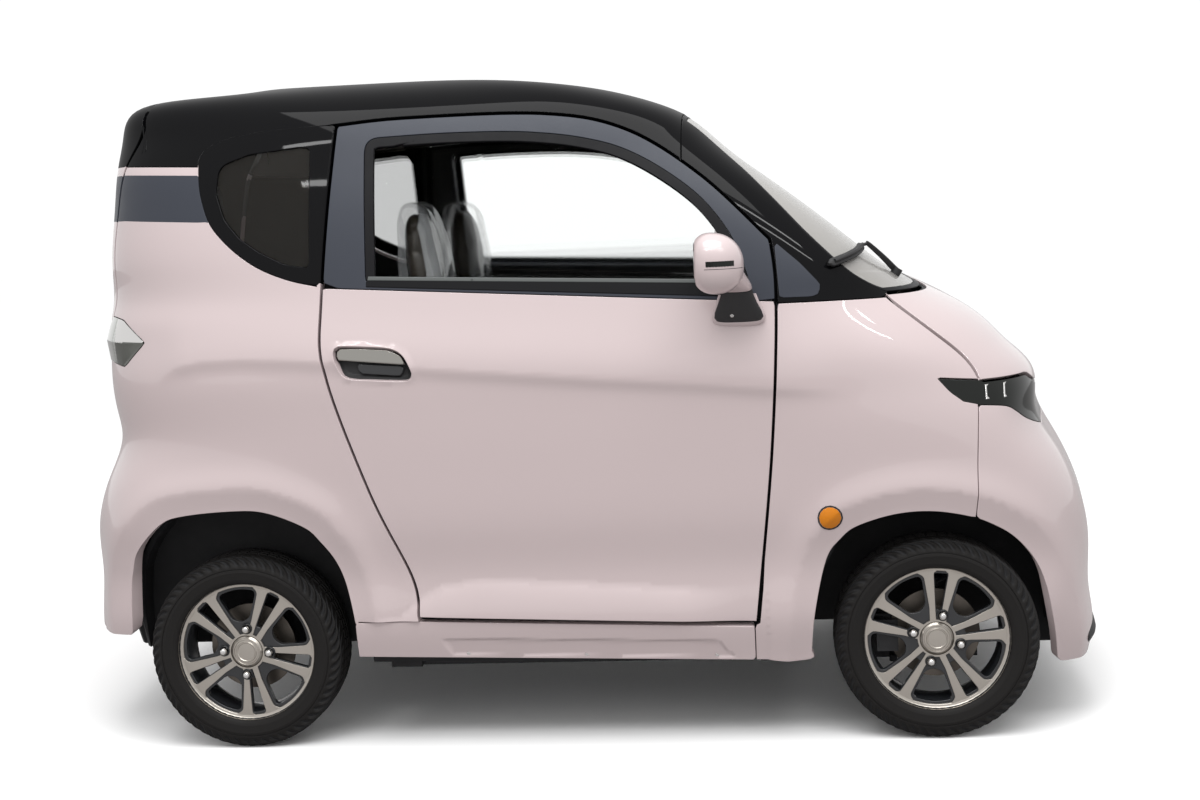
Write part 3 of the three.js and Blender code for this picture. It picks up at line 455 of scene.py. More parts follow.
def panel(loops, mats, relief=None, spacing=12.0, thickness=28.0, radius=1.6, depth=0.0, top=False,
          marks=(), paintBy=None, back=0, sheet=None, turns=4):
    """A body panel: the surface inside its outlines, the rounded edge and flange, and the inner face.

    loops are outlines in (u, w), the first the outer one and the others holes; marks are paths that
    part two materials, and paintBy(x, y, z) says which one a face gets. relief(x, y, z) raises the
    surface along its normal. back is the inner face's material. thickness is a number or a function
    of x, y, z. sheet is another surface to lie on, in place of the body's, with outlines in its own
    two parameters. Returns the piece's data.
    """
    mats = mats if isinstance(mats, list) else [mats]
    flat = toTop if top else (lambda uw: uw)
    place = sheet or (onTop if top else skinPoint)

    def base(a, b):
        p = place(a, b)
        n = unit(np.cross(place(a + 3, b) - place(a - 3, b), place(a, b + 3) - place(a, b - 3)))
        out = np.array([0.0, 1.0, 0.0]) if sheet else p - insidePoint
        n = np.where((n * out).sum(-1, keepdims=True) < 0, -n, n)
        return p, n

    def surface(a, b):
        p, n = base(a, b)
        lift = -depth if relief is None else relief(p[..., 0], p[..., 1], p[..., 2]) - depth
        return p + n * np.broadcast_to(lift, p.shape[:-1])[..., None]

    def normal(a, b):
        n = unit(np.cross(surface(a + 1.5, b) - surface(a - 1.5, b), surface(a, b + 1.5) - surface(a, b - 1.5)))
        return np.where((n * base(a, b)[1]).sum(-1, keepdims=True) < 0, -n, n)

    outer = []
    for loop in loops:
        ab = resampled(flat(np.array(loop, float)), spacing * 0.7)
        outer.append(ab if area(ab) > 0 else ab[::-1])
    inner = [offsetLoop(l, -radius if k else radius) for k, l in enumerate(outer)]
    lines = [evenly(flat(np.array(m, float)), spacing * 0.7) for m in marks]
    ab, tris = triangulated(inner, lines, spacing)
    front, frontN = surface(ab[:, 0], ab[:, 1]), normal(ab[:, 0], ab[:, 1])
    a, b, c = front[tris[:, 0]], front[tris[:, 1]], front[tris[:, 2]]
    flip = (np.cross(b - a, c - a) * frontN[tris].sum(1)).sum(1) < 0
    tris[flip] = tris[flip][:, ::-1]
    which = np.zeros(len(tris), int) if paintBy is None else paintBy(*front[tris].mean(1).T)
    thick = thickness if callable(thickness) else (lambda x, y, z: np.full(x.shape, float(thickness)))
    verts, norms = [front, front - frontN * thick(*front.T)[:, None]], [frontN, -frontN]
    triBlocks, triMats = [tris, tris[:, ::-1] + len(front)], [which, np.full(len(tris), back)]
    quadBlocks, quadMats, total = [], [], 2 * len(front)
    for l, i in zip(outer, inner):
        pOut, pIn, nIn = surface(*l.T), surface(*i.T), normal(*i.T)
        outward = unit(pOut - pIn)
        bend = np.linspace(0, math.pi / 2, turns)[:, None, None]
        rows = pIn + (pOut - pIn) * np.sin(bend) - nIn * radius * (1 - np.cos(bend))
        rowN = nIn * np.cos(bend) + outward * np.sin(bend)
        deep = thick(*pIn.T)[:, None]
        foot = np.stack([pOut - nIn * np.maximum(deep * 0.6, radius), pIn - nIn * deep])
        rows, rowN = np.concatenate([rows, foot]), np.concatenate([rowN, np.stack([outward, outward])])
        p, n = rows.reshape(-1, 3), rowN.reshape(-1, 3)
        quads = gridFaces(len(rows), len(l), wrapCols=True)
        geo = np.cross(p[quads[:, 1]] - p[quads[:, 0]], p[quads[:, 3]] - p[quads[:, 0]])
        flip = (geo * n[quads].sum(1)).sum(1) < 0
        quads[flip] = quads[flip][:, ::-1]
        verts.append(p)
        norms.append(n)
        quadBlocks.append(quads + total)
        quadMats.append(np.zeros(len(quads), int) if paintBy is None else paintBy(*p[quads].mean(1).T))
        total += len(p)
    return {"verts": np.concatenate(verts), "normals": np.concatenate(norms),
            "faces": [np.concatenate(triBlocks), np.concatenate(quadBlocks)],
            "faceMats": np.concatenate(triMats + quadMats), "mats": mats}


def facingOut(made):
    """Turns every face outwards."""
    shape = bmesh.new()
    shape.from_mesh(made.data)
    bmesh.ops.recalc_face_normals(shape, faces=shape.faces)
    shape.to_mesh(made.data)
    shape.free()


def single(data, name, body="body", node=None, sharp=35):
    """One object that rides on a body and stands for a node."""
    made = meshObject(name, data)
    if data["normals"] is None:
        facingOut(made)
        made.data.set_sharp_from_angle(angle=math.radians(sharp))
    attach(made, body)
    if node:
        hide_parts(node)


def bothSides(data, stem, body="body", node="", sharp=35):
    """A piece on the right side and its mirror image on the left."""
    flip = np.array([1.0, -1.0, 1.0])
    mirrored = {**data, "verts": data["verts"] * flip, "faces": [f[:, ::-1] for f in data["faces"]],
                "normals": None if data["normals"] is None else data["normals"] * flip}
    for lateral, one in (("right", data), ("left", mirrored)):
        single(one, f"{stem}_{lateral}", body.replace("SIDE", lateral), node.replace("SIDE", lateral), sharp)


def onePanel(name, loops, mats, body="body", node=None, **look):
    """A panel of its own, its outlines in (u, w)."""
    single(panel(loops, mats, **look), name, body, node)


def panelPair(stem, loops, mats, body="body", node="", **look):
    """A panel on both sides, its outlines in (u, w)."""
    bothSides(panel(loops, mats, **look), stem, body, node)


def sidePanel(stem, loops, mats, *rest, **look):
    """A panel on both sides, its outlines in side view."""
    panelPair(stem, [closedSide(l) for l in loops], mats, *rest, **look)


def across(half, rear=False):
    """A closed (u, w) loop from its right half, which starts and ends on the middle line."""
    half = np.array(half, float)
    other = half[::-1].copy()
    other[:, 0] = (2 * lapHalf if rear else 0) - other[:, 0]
    return np.concatenate([half, other[1:-1]])


def side(points):
    """(u, w) of side-view points (x, z), filled in so that straight lines stay straight in side view."""
    points = evenly(np.array(points, float), 12)
    return locate(points[:, 0], points[:, 1])


def rounded(corners, steps=8):
    """A closed outline through corners (x, z, rounding)."""
    out = []
    pts = np.array([c[:2] for c in corners], float)
    for i, corner in enumerate(corners):
        at, radius = pts[i], (corner[2] if len(corner) > 2 else 0)
        if radius == 0:
            out.append(at)
            continue
        before, after = pts[i - 1] - at, pts[(i + 1) % len(pts)] - at
        lb, la = np.linalg.norm(before), np.linalg.norm(after)
        half = math.acos(np.clip(before @ after / lb / la, -1, 1)) / 2
        reach = min(radius / math.tan(half), 0.45 * lb, 0.45 * la)
        p, q = at + before / lb * reach, at + after / la * reach
        t = np.linspace(0, 1, steps + 1)[:, None]
        out += list((1 - t) ** 2 * p + 2 * t * (1 - t) * at + t**2 * q)
    return np.array(out)


def closedSide(points):
    """(u, w) of a closed outline in side view."""
    points = np.array(points, float)
    return side(np.concatenate([points, points[:1]]))[:-1]


# The lines of the body, in side view.
doorFront = smooth([[435, 316], [484, 743], [506, 1104], [497, 1250]], 90)
doorTop = smooth([[497, 1250], [333, 1414], [150, 1535], [-58, 1583], [-400, 1589], [-573, 1579]], 120)
doorRear = smooth([[-573, 1579], [-610, 1150], [-602, 960], [-513, 673], [-418, 442], [-406, 347]], 120)
belt = smooth([[-613, 1179], [-287, 1157], [82, 1132], [512, 1103]], 60)
glassSweep = smooth([[-420, 1547], [-300, 1549], [-158, 1546], [-58, 1538], [41, 1522], [140, 1493], [237, 1440],
                     [333, 1364], [398, 1280], [432, 1205]], 70)
doorGlassLine = np.concatenate([
    rounded([[-420, 1547, 0.1], [-503, 1545, 46], [-500, 1188, 12], [449, 1144, 12], [432, 1205, 0.1]], 10)[1:-1],
    glassSweep[::-1]])
quarterArc = smooth([[-624, 1184], [-692, 1200], [-764, 1228], [-820, 1263], [-866, 1303], [-902, 1346],
                     [-921, 1393], [-932, 1440], [-936, 1496]], 60)
quarterGlassLine = np.concatenate([quarterArc[:-1], smooth([
    [-935, 1497], [-928, 1515], [-912, 1531], [-886, 1543], [-850, 1554], [-774, 1565], [-600, 1575]], 40)])
quarterClearLine = rounded([
    [-642, 1230, 10], [-704, 1240, 40], [-774, 1275, 60], [-824, 1310, 50], [-863, 1357, 50], [-886, 1425, 40],
    [-880, 1492, 40], [-800, 1518, 40], [-668, 1530, 14], [-642, 1526, 8]])
hoodSide = smooth([[777, 1104], [805, 1079], [879, 1019], [951, 958], [983, 918], [994, 890]], 40)
lampRear = np.array([[888, 900], [917, 866], [950, 841], [987, 832]])
lampUnder = smooth([[987, 832], [1066, 823], [1109, 806], [1145, 786], [1205, 757]], 30)
frontArch = smooth([[562, 100], [568, 230], [579, 340], [610, 468], [644, 517], [685, 549], [777, 576], [870, 580],
                    [962, 562], [1018, 538], [1067, 505], [1114, 450], [1145, 385], [1165, 310], [1178, 228],
                    [1184, 100]], 200)
rearArch = smooth([[-1186, 100], [-1178, 391], [-1165, 470], [-1141, 526], [-1069, 595], [-1000, 617], [-870, 628],
                   [-784, 622], [-688, 583], [-649, 544], [-613, 490], [-588, 415], [-570, 300], [-563, 100]], 200)
windscreenSide = smooth([[784, 1109], [736, 1131], [688, 1163], [631, 1217], [573, 1277], [514, 1343], [443, 1420],
                         [394, 1468], [333, 1527], [289, 1561]], 60)
tailDiamond = rounded([[-1300, 1120, 4], [-1212, 1118, 4], [-1174, 1112, 14], [-1096, 1056, 5], [-1167, 993, 14],
                       [-1218, 1003, 4], [-1300, 1010, 4]], 4)
tailgateHalf = 505.0
splitX = 974.0


def looped(points, each=6):
    """A closed smooth curve through points."""
    around = np.array(points[-1:] + points + points[:2], float)
    return smooth(around, (len(around) - 1) * each + 1)[each : (len(points) + 1) * each]


def beltZ(x):
    """The belt line's height at x."""
    return np.interp(x, belt[:, 0], belt[:, 1])


handleLine = looped([[-581, 1018], [-575, 1031], [-560, 1034], [-500, 1031], [-440, 1025], [-410, 1010],
                     [-394, 985], [-386, 962], [-392, 948], [-410, 944], [-480, 948], [-540, 953], [-562, 964],
                     [-576, 992]])


def onDoorFront(z):
    """The x of the door's front edge at a height."""
    return np.interp(z, doorFront[:, 1], doorFront[:, 0])


def onDoorRear(z):
    """The x of the door's rear edge at a height."""
    return np.interp(z, doorRear[::-1, 1], doorRear[::-1, 0])


def alongEdge(edge, z, gap):
    """Side-view points at heights z on a door edge, moved along x by a gap."""
    return np.stack([edge(z) + gap, z], 1)


# Creases pressed into the panels.
shoulder = np.array([[-1060, 962], [-1041, 979], [-1003, 997], [-931, 1011], [-823, 1015], [-666, 1007],
                     [-590, 1000], [-291, 971], [76, 938], [318, 919], [474, 903], [678, 889]])
lowerCrease = np.array([[-560, 330], [-450, 352], [-404, 388], [-351, 420], [-249, 436], [-49, 425], [150, 411],
                        [295, 399], [444, 391], [600, 384]])


creaseSettings = {"height": 9, "above": 90, "below": 24, "lower": 17, "lowerReach": 42, "lip": 12.0,
                  "lipWidth": 55, "lipFade": 45, "handleLip": 3.5, "handleReach": 7}


def archLip(x, z, arch, s=creaseSettings):
    """A soft crease beside an arch's edge; the face below it turns down to the edge."""
    p = np.stack([x.ravel(), z.ravel()], 1)
    near = np.abs(p[:, 0] - arch[:, 0].mean()) < 420
    d = np.full(len(p), 1e3)
    if near.any():
        d[near] = pathDistance(p[near], arch[arch[:, 1] > 150], closed=False)
    d = d.reshape(x.shape)
    wide = s["lipWidth"]
    return s["lip"] * np.where(d < wide, (d / wide) ** 1.3, np.exp(-(((d - wide) / s["lipFade"]) ** 2)))


def sideRelief(x, y, z, s=creaseSettings):
    """The shoulder crease, the lower crease and both arch lips, raised along the surface's normal."""
    d = z - np.interp(x, shoulder[:, 0], shoulder[:, 1])
    fade = ramp(x, -1070, -960) * ramp(-x, -700, -480)
    h = s["height"] * fade * np.where(d > 0, np.exp(-((d / s["above"]) ** 2)), np.exp(-((d / s["below"]) ** 2)))
    d = np.interp(x, lowerCrease[:, 0], lowerCrease[:, 1]) - z
    fade = np.clip((x + 560) / 120, 0, 1) * np.clip((640 - x) / 150, 0, 1)
    h = h + s["lower"] * fade * ramp(-x, -410, -230) * (1 - np.exp(-np.maximum(d, 0) / s["lowerReach"]))
    return h + archLip(x, z, frontArch) + archLip(x, z, rearArch)


def handleRelief(x, y, z, s=creaseSettings):
    """A soft lip round the handle's pocket."""
    d = pathDistance(np.stack([x.ravel(), z.ravel()], 1), handleLine).reshape(x.shape)
    return sideRelief(x, y, z) + s["handleLip"] * np.exp(-((d / s["handleReach"]) ** 2))


# Doors.
onDoor = {"body": "door_SIDE", "node": "door_SIDE"}
doorSkinLine = np.concatenate([
    alongEdge(onDoorFront, np.linspace(318, beltZ(506) - 1, 60), -1), belt[::-1][4:-3] - [0, 1],
    alongEdge(onDoorRear, np.linspace(beltZ(-610) - 1, 348, 60), 1)])


flangeSettings = {"deep": 24.0, "atFront": 14.0, "atStrap": 4.0, "frontX": 380, "strapX": 395,
                  "strapZ": (680, 930), "strapHalf": 32}


def doorDepth(x, y, z, s=flangeSettings):
    """The skin's flange is shallower along the front edge and shallowest where the hinge straps swing."""
    low, high = (np.abs(z - strap) < s["strapHalf"] for strap in s["strapZ"])
    flange = np.where(x > s["frontX"], s["atFront"], s["deep"])
    return np.where((x > s["strapX"]) & (low | high), s["atStrap"], flange)


creaseX = np.linspace(-396, 402, 130)
creaseMark = side(np.stack([creaseX, np.interp(creaseX, lowerCrease[:, 0], lowerCrease[:, 1])], 1))
sidePanel("door_skin", [doorSkinLine, handleLine], [paintPink, cabinTrim], **onDoor, relief=handleRelief,
          spacing=11, thickness=doorDepth, back=1, marks=[creaseMark])
upper = np.concatenate([doorFront[doorFront[:, 1] > beltZ(506)] - [1, 0], shifted(doorTop, 1)[1:],
                        doorRear[doorRear[:, 1] > beltZ(-610)] + [1, 0]])
sidePanel("door_frame", [np.concatenate([upper, belt[4:-3] + [0, 1]]), doorGlassLine], [satinGrey, cabinTrim],
          **onDoor, thickness=40, depth=1.5, back=1, spacing=15)
sidePanel("door_pane", [offsetLoop(doorGlassLine, 0.5)], clearGlass, "door_SIDE", "door_glass_SIDE", depth=14,
          thickness=5, radius=1, spacing=20)
print("stage: doors")

# Fenders, sills and quarter panels.
archFront = frontArch[(frontArch[:, 1] > 225) & (frontArch[:, 0] < splitX)]
fenderRear = np.linspace(1095, 318, 60)
fenderRear = alongEdge(onDoorFront, fenderRear, np.interp(fenderRear, [400, 470], [9, 6]))
fenderLoop = closedSide(np.concatenate([
    [[431, 214], [560, 211], [578, 220]], archFront, [[splitX - 1, 566], [986, 831]],
    shifted(lampRear, 1)[::-1], [[888, 903], [997, 892]],
    (hoodSide[::-1] + [-4, -4.5])[2:], [[778, 1097], [512, 1097]],
    fenderRear, [[443, 308], [431, 306]]]))
# The fender is thin where the door's front edge swings past behind it.
panelPair("fender_skin", [fenderLoop], [paintPink, linerBlack], node="fender_SIDE", relief=sideRelief,
          spacing=12, back=1, thickness=lambda x, y, z: np.interp(x - onDoorFront(z), [26, 40], [7, 24]))


def sillRelief(x, y, z):
    """The sill's long shallow recess."""
    low = z - 258 + 0.028 * (x + 75)
    inside = np.clip((x + 345 + 0.6 * low) / 10, 0, 1) * np.clip((362 - x - 0.9 * low) / 10, 0, 1)
    return 3.0 - 5.0 * inside * np.clip((24 - np.abs(low)) / 5, 0, 1)


sidePanel("sill_skin", [[[-572, 243], [429, 215], [429, 305], [-410, 335], [-572, 334]]], [paintPink, linerBlack],
          node="sill_SIDE", relief=sillRelief, spacing=8, thickness=30, back=1)
tailU = locateAcross(512, 1000, True)[0]


def tailSide(z0, z1, y=512.0, count=80):
    """(u, w) up the tail at one distance from the middle."""
    z = np.linspace(z0, z1, count)
    return locateAcross(np.full(count, y), z, True)


archRear = rearArch[rearArch[:, 1] > 318][::-1]
roofEdge = smooth([[-586, 1583], [-774, 1573], [-852, 1562], [-890, 1550], [-917, 1538], [-934, 1514],
                   [-937, 1494]], 50)
capStart = locate(-937, 1494)


def bandDrop(x):
    """The dark band and the lines beside it run lower towards the quarter window."""
    return 12 * np.clip((x + 1160) / 224, 0, 1)


def bandLine(z, u0, u1, count=80):
    """A line of one height that runs lower towards the quarter window."""
    flat = heightLine(z, u0, u1, count)
    return heightLine(z - bandDrop(skinPoint(*flat.T)[:, 0]), u0, u1, count)


quarterLoop = np.concatenate([
    side(np.concatenate([[[-408, 337], [-564, 337]], archRear, [[-1184, 302], [-1190, 297], [-1215, 297]]])),
    heightLine(297, locate(-1220, 297)[0], locateAcross(512, 297, True)[0], 40),
    tailSide(299, 1504),
    bandLine(1505, locateAcross(512, 1505, True)[0], capStart[0], 40)[1:],
    side((roofEdge - [0, 1])[::-1]),
    side(alongEdge(onDoorRear, np.linspace(1578, 352, 80), -6))])
bandLow, bandHigh = 1366.0, 1484.0


def bandMark(z):
    """One edge of the dark band, from the quarter window back and round to the tailgate."""
    edge = np.interp(z, quarterArc[:, 1], quarterArc[:, 0])
    return bandLine(z, locate(edge - 4, z)[0], tailU - 3)


def bandAndGapShadePaint(x, y, z):
    """Pink, but satin grey in the dark band, and black by the door's rear edge above the belt, under the black
    border round the quarter window: painted shade of the door's gap.
    """
    level = z + bandDrop(x)
    banded = (level > bandLow) & (level < bandHigh) & (x < -870)
    return np.where(banded, 2, np.where((x > -650) & (z > 1190), 3, 0))


def lampLoop(distance, gap):
    """The tail lamp's outline, stopped short of the tailgate."""
    loop = closedSide(offsetLoop(tailDiamond, distance))
    loop[:, 0] = np.minimum(loop[:, 0], tailU - gap)
    return loop


run = unit(np.gradient(rearArch, axis=0))
lipLine = rearArch + creaseSettings["lipWidth"] * np.stack([-run[:, 1], run[:, 0]], 1)
lipLine = lipLine[(lipLine[:, 0] > -1185) & (lipLine[:, 1] > 352)]
# The quarter's edge in the door's gap above the belt is black: painted shade of the gap.
panelPair("quarter", [quarterLoop, closedSide(offsetLoop(quarterGlassLine, -1)), lampLoop(-1, 7)],
          [paintPink, linerBlack, satinGrey, glossBlack], node="quarter_panel_SIDE", relief=sideRelief,
          spacing=10.5, thickness=40, back=1, marks=[bandMark(bandLow), bandMark(bandHigh), side(lipLine)],
          paintBy=bandAndGapShadePaint)
quarterOuterLine = np.concatenate([
    quarterArc[quarterArc[:, 0] < -650], roofEdge[::-1][1:-3] + [0, 0.4], [[-600, 1582]],
    alongEdge(onDoorRear, np.linspace(1186, 1577, 40), -7.5)[::-1]])
sidePanel("quarter_border", [quarterOuterLine, quarterClearLine], glossBlack, node="quarter_glass_SIDE",
          depth=-1.2, thickness=8, radius=2)
sidePanel("quarter_pane", [offsetLoop(quarterClearLine, 0.5)], tintedGlass, node="quarter_glass_SIDE", depth=2.2,
          thickness=6, radius=1)
print("stage: sides")

# Roof, pillars, windscreen.
roofFrontX, roofRearX = 289.0, -1098.0


def crossPlane(x, z, count=90):
    """(u, w) along the cut of the body by a plane across the car, from height z at the side to the middle."""
    start = locate(x, z)[0]
    rear = x < -650
    u = np.linspace(start, lapHalf if rear else 0, count)
    angle = np.interp(u, lapLength, angleFine)
    low, high = np.full(count, rise[8]), np.full(count, rise[-1])
    for _ in range(40):
        mid = (low + high) / 2
        under = ring(angle, mid)[:, 0] < x if rear else ring(angle, mid)[:, 0] > x
        low, high = np.where(under, mid, low), np.where(under, high, mid)
    return np.stack([u, low], 1)


tailEdge = tailSide(1507, 1700, count=400)
tailEdgeX = skinPoint(*tailEdge.T)
turnAt = int(np.argmax(tailEdgeX[:, 0] > roofRearX))
rearPlane = crossPlane(roofRearX, tailEdgeX[turnAt, 2])
frontPlane = crossPlane(roofFrontX - 0.5, 1449)[::-1]
doorRoof = shifted(doorTop, -6)
roofHalf = np.concatenate([
    frontPlane, side(doorRoof[doorRoof[:, 0] < roofFrontX - 1]),
    side(np.concatenate([[[-578, 1585]], roofEdge])),
    bandLine(1506, capStart[0], tailEdge[0, 0], 40)[1:], tailEdge[:turnAt], rearPlane])
roofHalf[0, 0], roofHalf[-1, 0] = 0, lapHalf
onePanel("roof_shell", [across(roofHalf)], [glossBlack, headliner], node="roof", top=True, thickness=36,
         spacing=16, back=1)

pillarLine = np.concatenate([
    [[514, 1099], [770, 1099]], shifted(windscreenSide, 0.6), [[roofFrontX + 0.5, 1558], [roofFrontX + 0.5, 1452]],
    doorRoof[doorRoof[:, 0] > roofFrontX + 1][::-1], (doorFront[doorFront[:, 1] > 1104] + [6, 0])[::-1]])
sidePanel("pillar", [pillarLine], [glossBlack, cabinTrim], node="a_pillar_SIDE", thickness=38, back=1)
triangleLine = rounded([[508, 1246, 5], [569, 1191, 60], [616, 1139, 14], [613, 1117, 8], [596, 1110, 8],
                        [517, 1111, 5]])
sidePanel("pillar_triangle", [triangleLine], satinGrey, depth=-1.2, thickness=5, radius=1.2)

screenHalf = np.concatenate([
    heightLine(1112.5, 0, locate(781, 1112.5)[0], 60), side(shifted(windscreenSide, -0.6)[3:]),
    crossPlane(roofFrontX + 0.5, 1562)])
screenHalf[-1, 0] = 0
screenLoop = resampled(across(screenHalf), 10)
onePanel("screen_border", [across(screenHalf), offsetLoop(screenLoop, 9)], rubberSeal, node="windshield",
         depth=1.5, thickness=6, radius=1.5)
onePanel("screen", [offsetLoop(screenLoop, 9.5)], filmGlass, node="windshield", depth=2.6, thickness=5,
         radius=1, spacing=24)
print("stage: roof and glass")

# Hood, lamps and bumper.
hoodHalf = np.concatenate([
    heightLine(839, 0, locate(1214, 839)[0], 40), side([[1214, 840], [1138, 891], [997, 891]]),
    side(shifted(hoodSide, 1)[::-1]), heightLine(1103, locate(779, 1103)[0], 0, 70)])


def hoodDepth(x, y, z):
    """Thin towards the windscreen, so that the rear edge clears the glass's foot as it lifts."""
    return np.interp(z, [1060, 1095], [22.0, 6.0])


onePanel("hood_panel", [across(hoodHalf)], [paintPink, linerBlack], body="hood", node="hood",
         thickness=hoodDepth, spacing=13, back=1)
lampHalf = np.concatenate([
    heightLine(756, 0, locate(1211, 757)[0], 40), side(lampUnder[::-1]), side(lampRear[::-1]),
    side([[888, 900], [994, 889], [998, 884], [1136, 884], [1213, 833]]),
    heightLine(832, locate(1214, 832)[0], 0, 40)])
onePanel("lamp_band", [across(lampHalf)], [lensSmoke, linerBlack], node="front_lamps", thickness=20,
         spacing=11, depth=0.6, back=1)
archAhead = frontArch[(frontArch[:, 1] > 178) & (frontArch[:, 0] > splitX)][::-1]
bumperHalf = np.concatenate([
    heightLine(166, 0, locate(1205, 166)[0], 60),
    side(np.concatenate([[[1200, 166], [1190, 168], [1183, 174]], archAhead, [[splitX + 0.6, 565], [988, 830]],
                         shifted(lampUnder, -1.2)])),
    heightLine(754.5, locate(1213, 754.5)[0], 0, 40)])
onePanel("bumper", [across(bumperHalf)], [paintPink, linerBlack], node="front_bumper", relief=sideRelief,
         thickness=24, spacing=13, back=1)
chinReach = locateAcross(520, 200, False)[0]
chinHalf = np.concatenate([heightLine(176, 0, chinReach - 30, 60), locateAcross([535, 540], [205, 225], False),
                           heightLine(243, chinReach, 0, 60)])


def chinLip(x, y, z):
    """The chin stands out most along a line near its top."""
    return np.interp(z, [176, 212, 243], [2.0, 13.0, 2.0])


onePanel("chin", [across(chinHalf)], blackPlastic, node="front_bumper", relief=chinLip, thickness=14,
         spacing=9, radius=1.5)
print("stage: front")

# Tailgate and rear panel.
tailgateX = roofRearX - 11
gateEdge = tailSide(600, 1700, y=tailgateHalf, count=500)
gateTurn = int(np.argmax(skinPoint(*gateEdge.T)[:, 0] > tailgateX))
gateHalfLoop = np.concatenate([
    heightLine(601, lapHalf, gateEdge[0, 0], 50), gateEdge[1:gateTurn],
    crossPlane(tailgateX, skinPoint(*gateEdge[gateTurn])[2])])
gateHalfLoop[-1, 0] = lapHalf


def tailLoop(points):
    """(u, w) of rear-view points (y, z)."""
    points = evenly(np.concatenate([points, points[:1]]), 10)[:-1]
    uw = locateAcross(points[:, 0], points[:, 1], True)
    uw[:, 0] = np.where(points[:, 0] > 0, 2 * lapHalf - uw[:, 0], uw[:, 0])
    return uw


rearWindow = rounded([[-430, 1090, 60], [430, 1090, 60], [405, 1465, 60], [-405, 1465, 60]])
rearClear = rounded([[-400, 1118, 50], [400, 1118, 50], [376, 1438, 50], [-376, 1438, 50]])
gateTop = 1506.0


def gatePaint(x, y, z):
    """Pink, with the dark band and the black top of the car running on from the sides."""
    return np.where(z > gateTop, 3, np.where((z > bandLow) & (z < bandHigh), 2, 0))


def gateMark(z):
    """A line of one height right across the tailgate."""
    start = locateAcross(tailgateHalf - 4, z, True)[0]
    return heightLine(z, start, 2 * lapHalf - start, 120)


lowMark = heightLine(bandLow, locateAcross(tailgateHalf - 4, bandLow, True)[0],
                     locateAcross(432, bandLow, True)[0], 20)
otherMark = np.stack([2 * lapHalf - lowMark[:, 0], lowMark[:, 1]], 1)
onePanel("gate_panel", [across(gateHalfLoop, rear=True), tailLoop(offsetLoop(rearWindow, -1))],
         [paintPink, linerBlack, satinGrey, glossBlack], body="tailgate", node="tailgate", thickness=32,
         spacing=14, back=1, marks=[gateMark(bandHigh), gateMark(gateTop), lowMark, otherMark],
         paintBy=gatePaint)
onePanel("rear_glass_border", [tailLoop(rearWindow), tailLoop(rearClear)], glossBlack, body="tailgate",
         node="rear_glass", depth=1.5, thickness=6, radius=1)
onePanel("rear_pane", [tailLoop(rearClear)], tintedGlass, body="tailgate", node="rear_glass", depth=2.2,
         thickness=5, radius=1, spacing=24)
rearSide = tailSide(593, 243, y=511)
rearSide = rearSide[rearSide[:, 1] > rearSide[-1, 1] + 58]
rearHalf = np.concatenate([heightLine(250, lapHalf, locateAcross(330, 250, True)[0], 50),
                           locateAcross([370, 420, 460], [262, 292, 302], True), rearSide[::-1][1:],
                           heightLine(594, rearSide[0, 0], lapHalf, 50)[1:]])
onePanel("rear_panel", [across(rearHalf, rear=True)], [paintPink, linerBlack], node="rear_bumper",
         thickness=40, spacing=16, back=1)
print("stage: rear")

# Wheels: they are drawn round the Y axis with the outer face towards +Y, in millimetres from the hub's middle.
wheelSettings = {
    "rim": 178.0, "pairs": 5, "nuts": 4, "nutCircle": 60.0, "nutTurn": -10.0, "face": 52.0, "discRadius": 112.0,
    "frontTurn": 5.0, "rearTurn": 172.7,
    "treadGroove": 6.0, "shoulderBlocks": 60}


def lathe(profile, around):
    """A profile of (radius, y) turned about the Y axis; returns vertices and quads that face outwards."""
    profile = np.array(profile, float)
    angle = np.linspace(0, 2 * math.pi, around, endpoint=False)
    verts = np.stack([profile[:, 0][:, None] * np.sin(angle), np.repeat(profile[:, 1][:, None], around, 1),
                      profile[:, 0][:, None] * np.cos(angle)], -1)
    return verts.reshape(-1, 3), gridFaces(len(verts), around, wrapCols=True)


def joinData(parts, mats, normals=None):
    """Several (verts, faces, material index) parts as one piece's data; the index can differ by face."""
    verts, faces, faceMats, total = [], {}, {}, 0
    for v, f, m in parts:
        for block in f if isinstance(f, list) else [f]:
            faces.setdefault(block.shape[1], []).append(block + total)
            faceMats.setdefault(block.shape[1], []).append(np.broadcast_to(m, len(block)))
        verts.append(v)
        total += len(v)
    widths = sorted(faces)
    return {"verts": np.concatenate(verts), "faces": [np.concatenate(faces[k]) for k in widths],
            "faceMats": np.concatenate([np.concatenate(faceMats[k]) for k in widths]), "mats": mats,
            "normals": normals}


def wheelObject(data, stem, node, corner, lateral, sharp):
    """A wheel's piece at one corner of the car, its face outwards."""
    out, turn = sideSign[lateral], -math.radians(wheelSettings[corner + "Turn"])
    about = np.array([[math.cos(turn), 0, -math.sin(turn)], [0, 1, 0], [math.sin(turn), 0, math.cos(turn)]])
    flip = np.array([out, out, 1.0])
    normals = None if data["normals"] is None else data["normals"] @ about * flip
    verts = data["verts"] @ about * flip + [axleX[corner], out * track / 2, tyreRadius]
    made = meshObject(f"{stem}_{corner}_{lateral}", {**data, "verts": verts, "normals": normals})
    if normals is None:
        made.data.set_sharp_from_angle(angle=math.radians(sharp))
    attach(made, f"wheel_{corner}_{lateral}")
    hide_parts(f"{node}_{corner}_{lateral}")


def grooveLean(across):
    """How far a shoulder groove has run round the tyre, in blocks."""
    return 2.42 * np.sign(across) * (np.clip(np.abs(across), 0.4, 1.45) - 0.4) ** 2


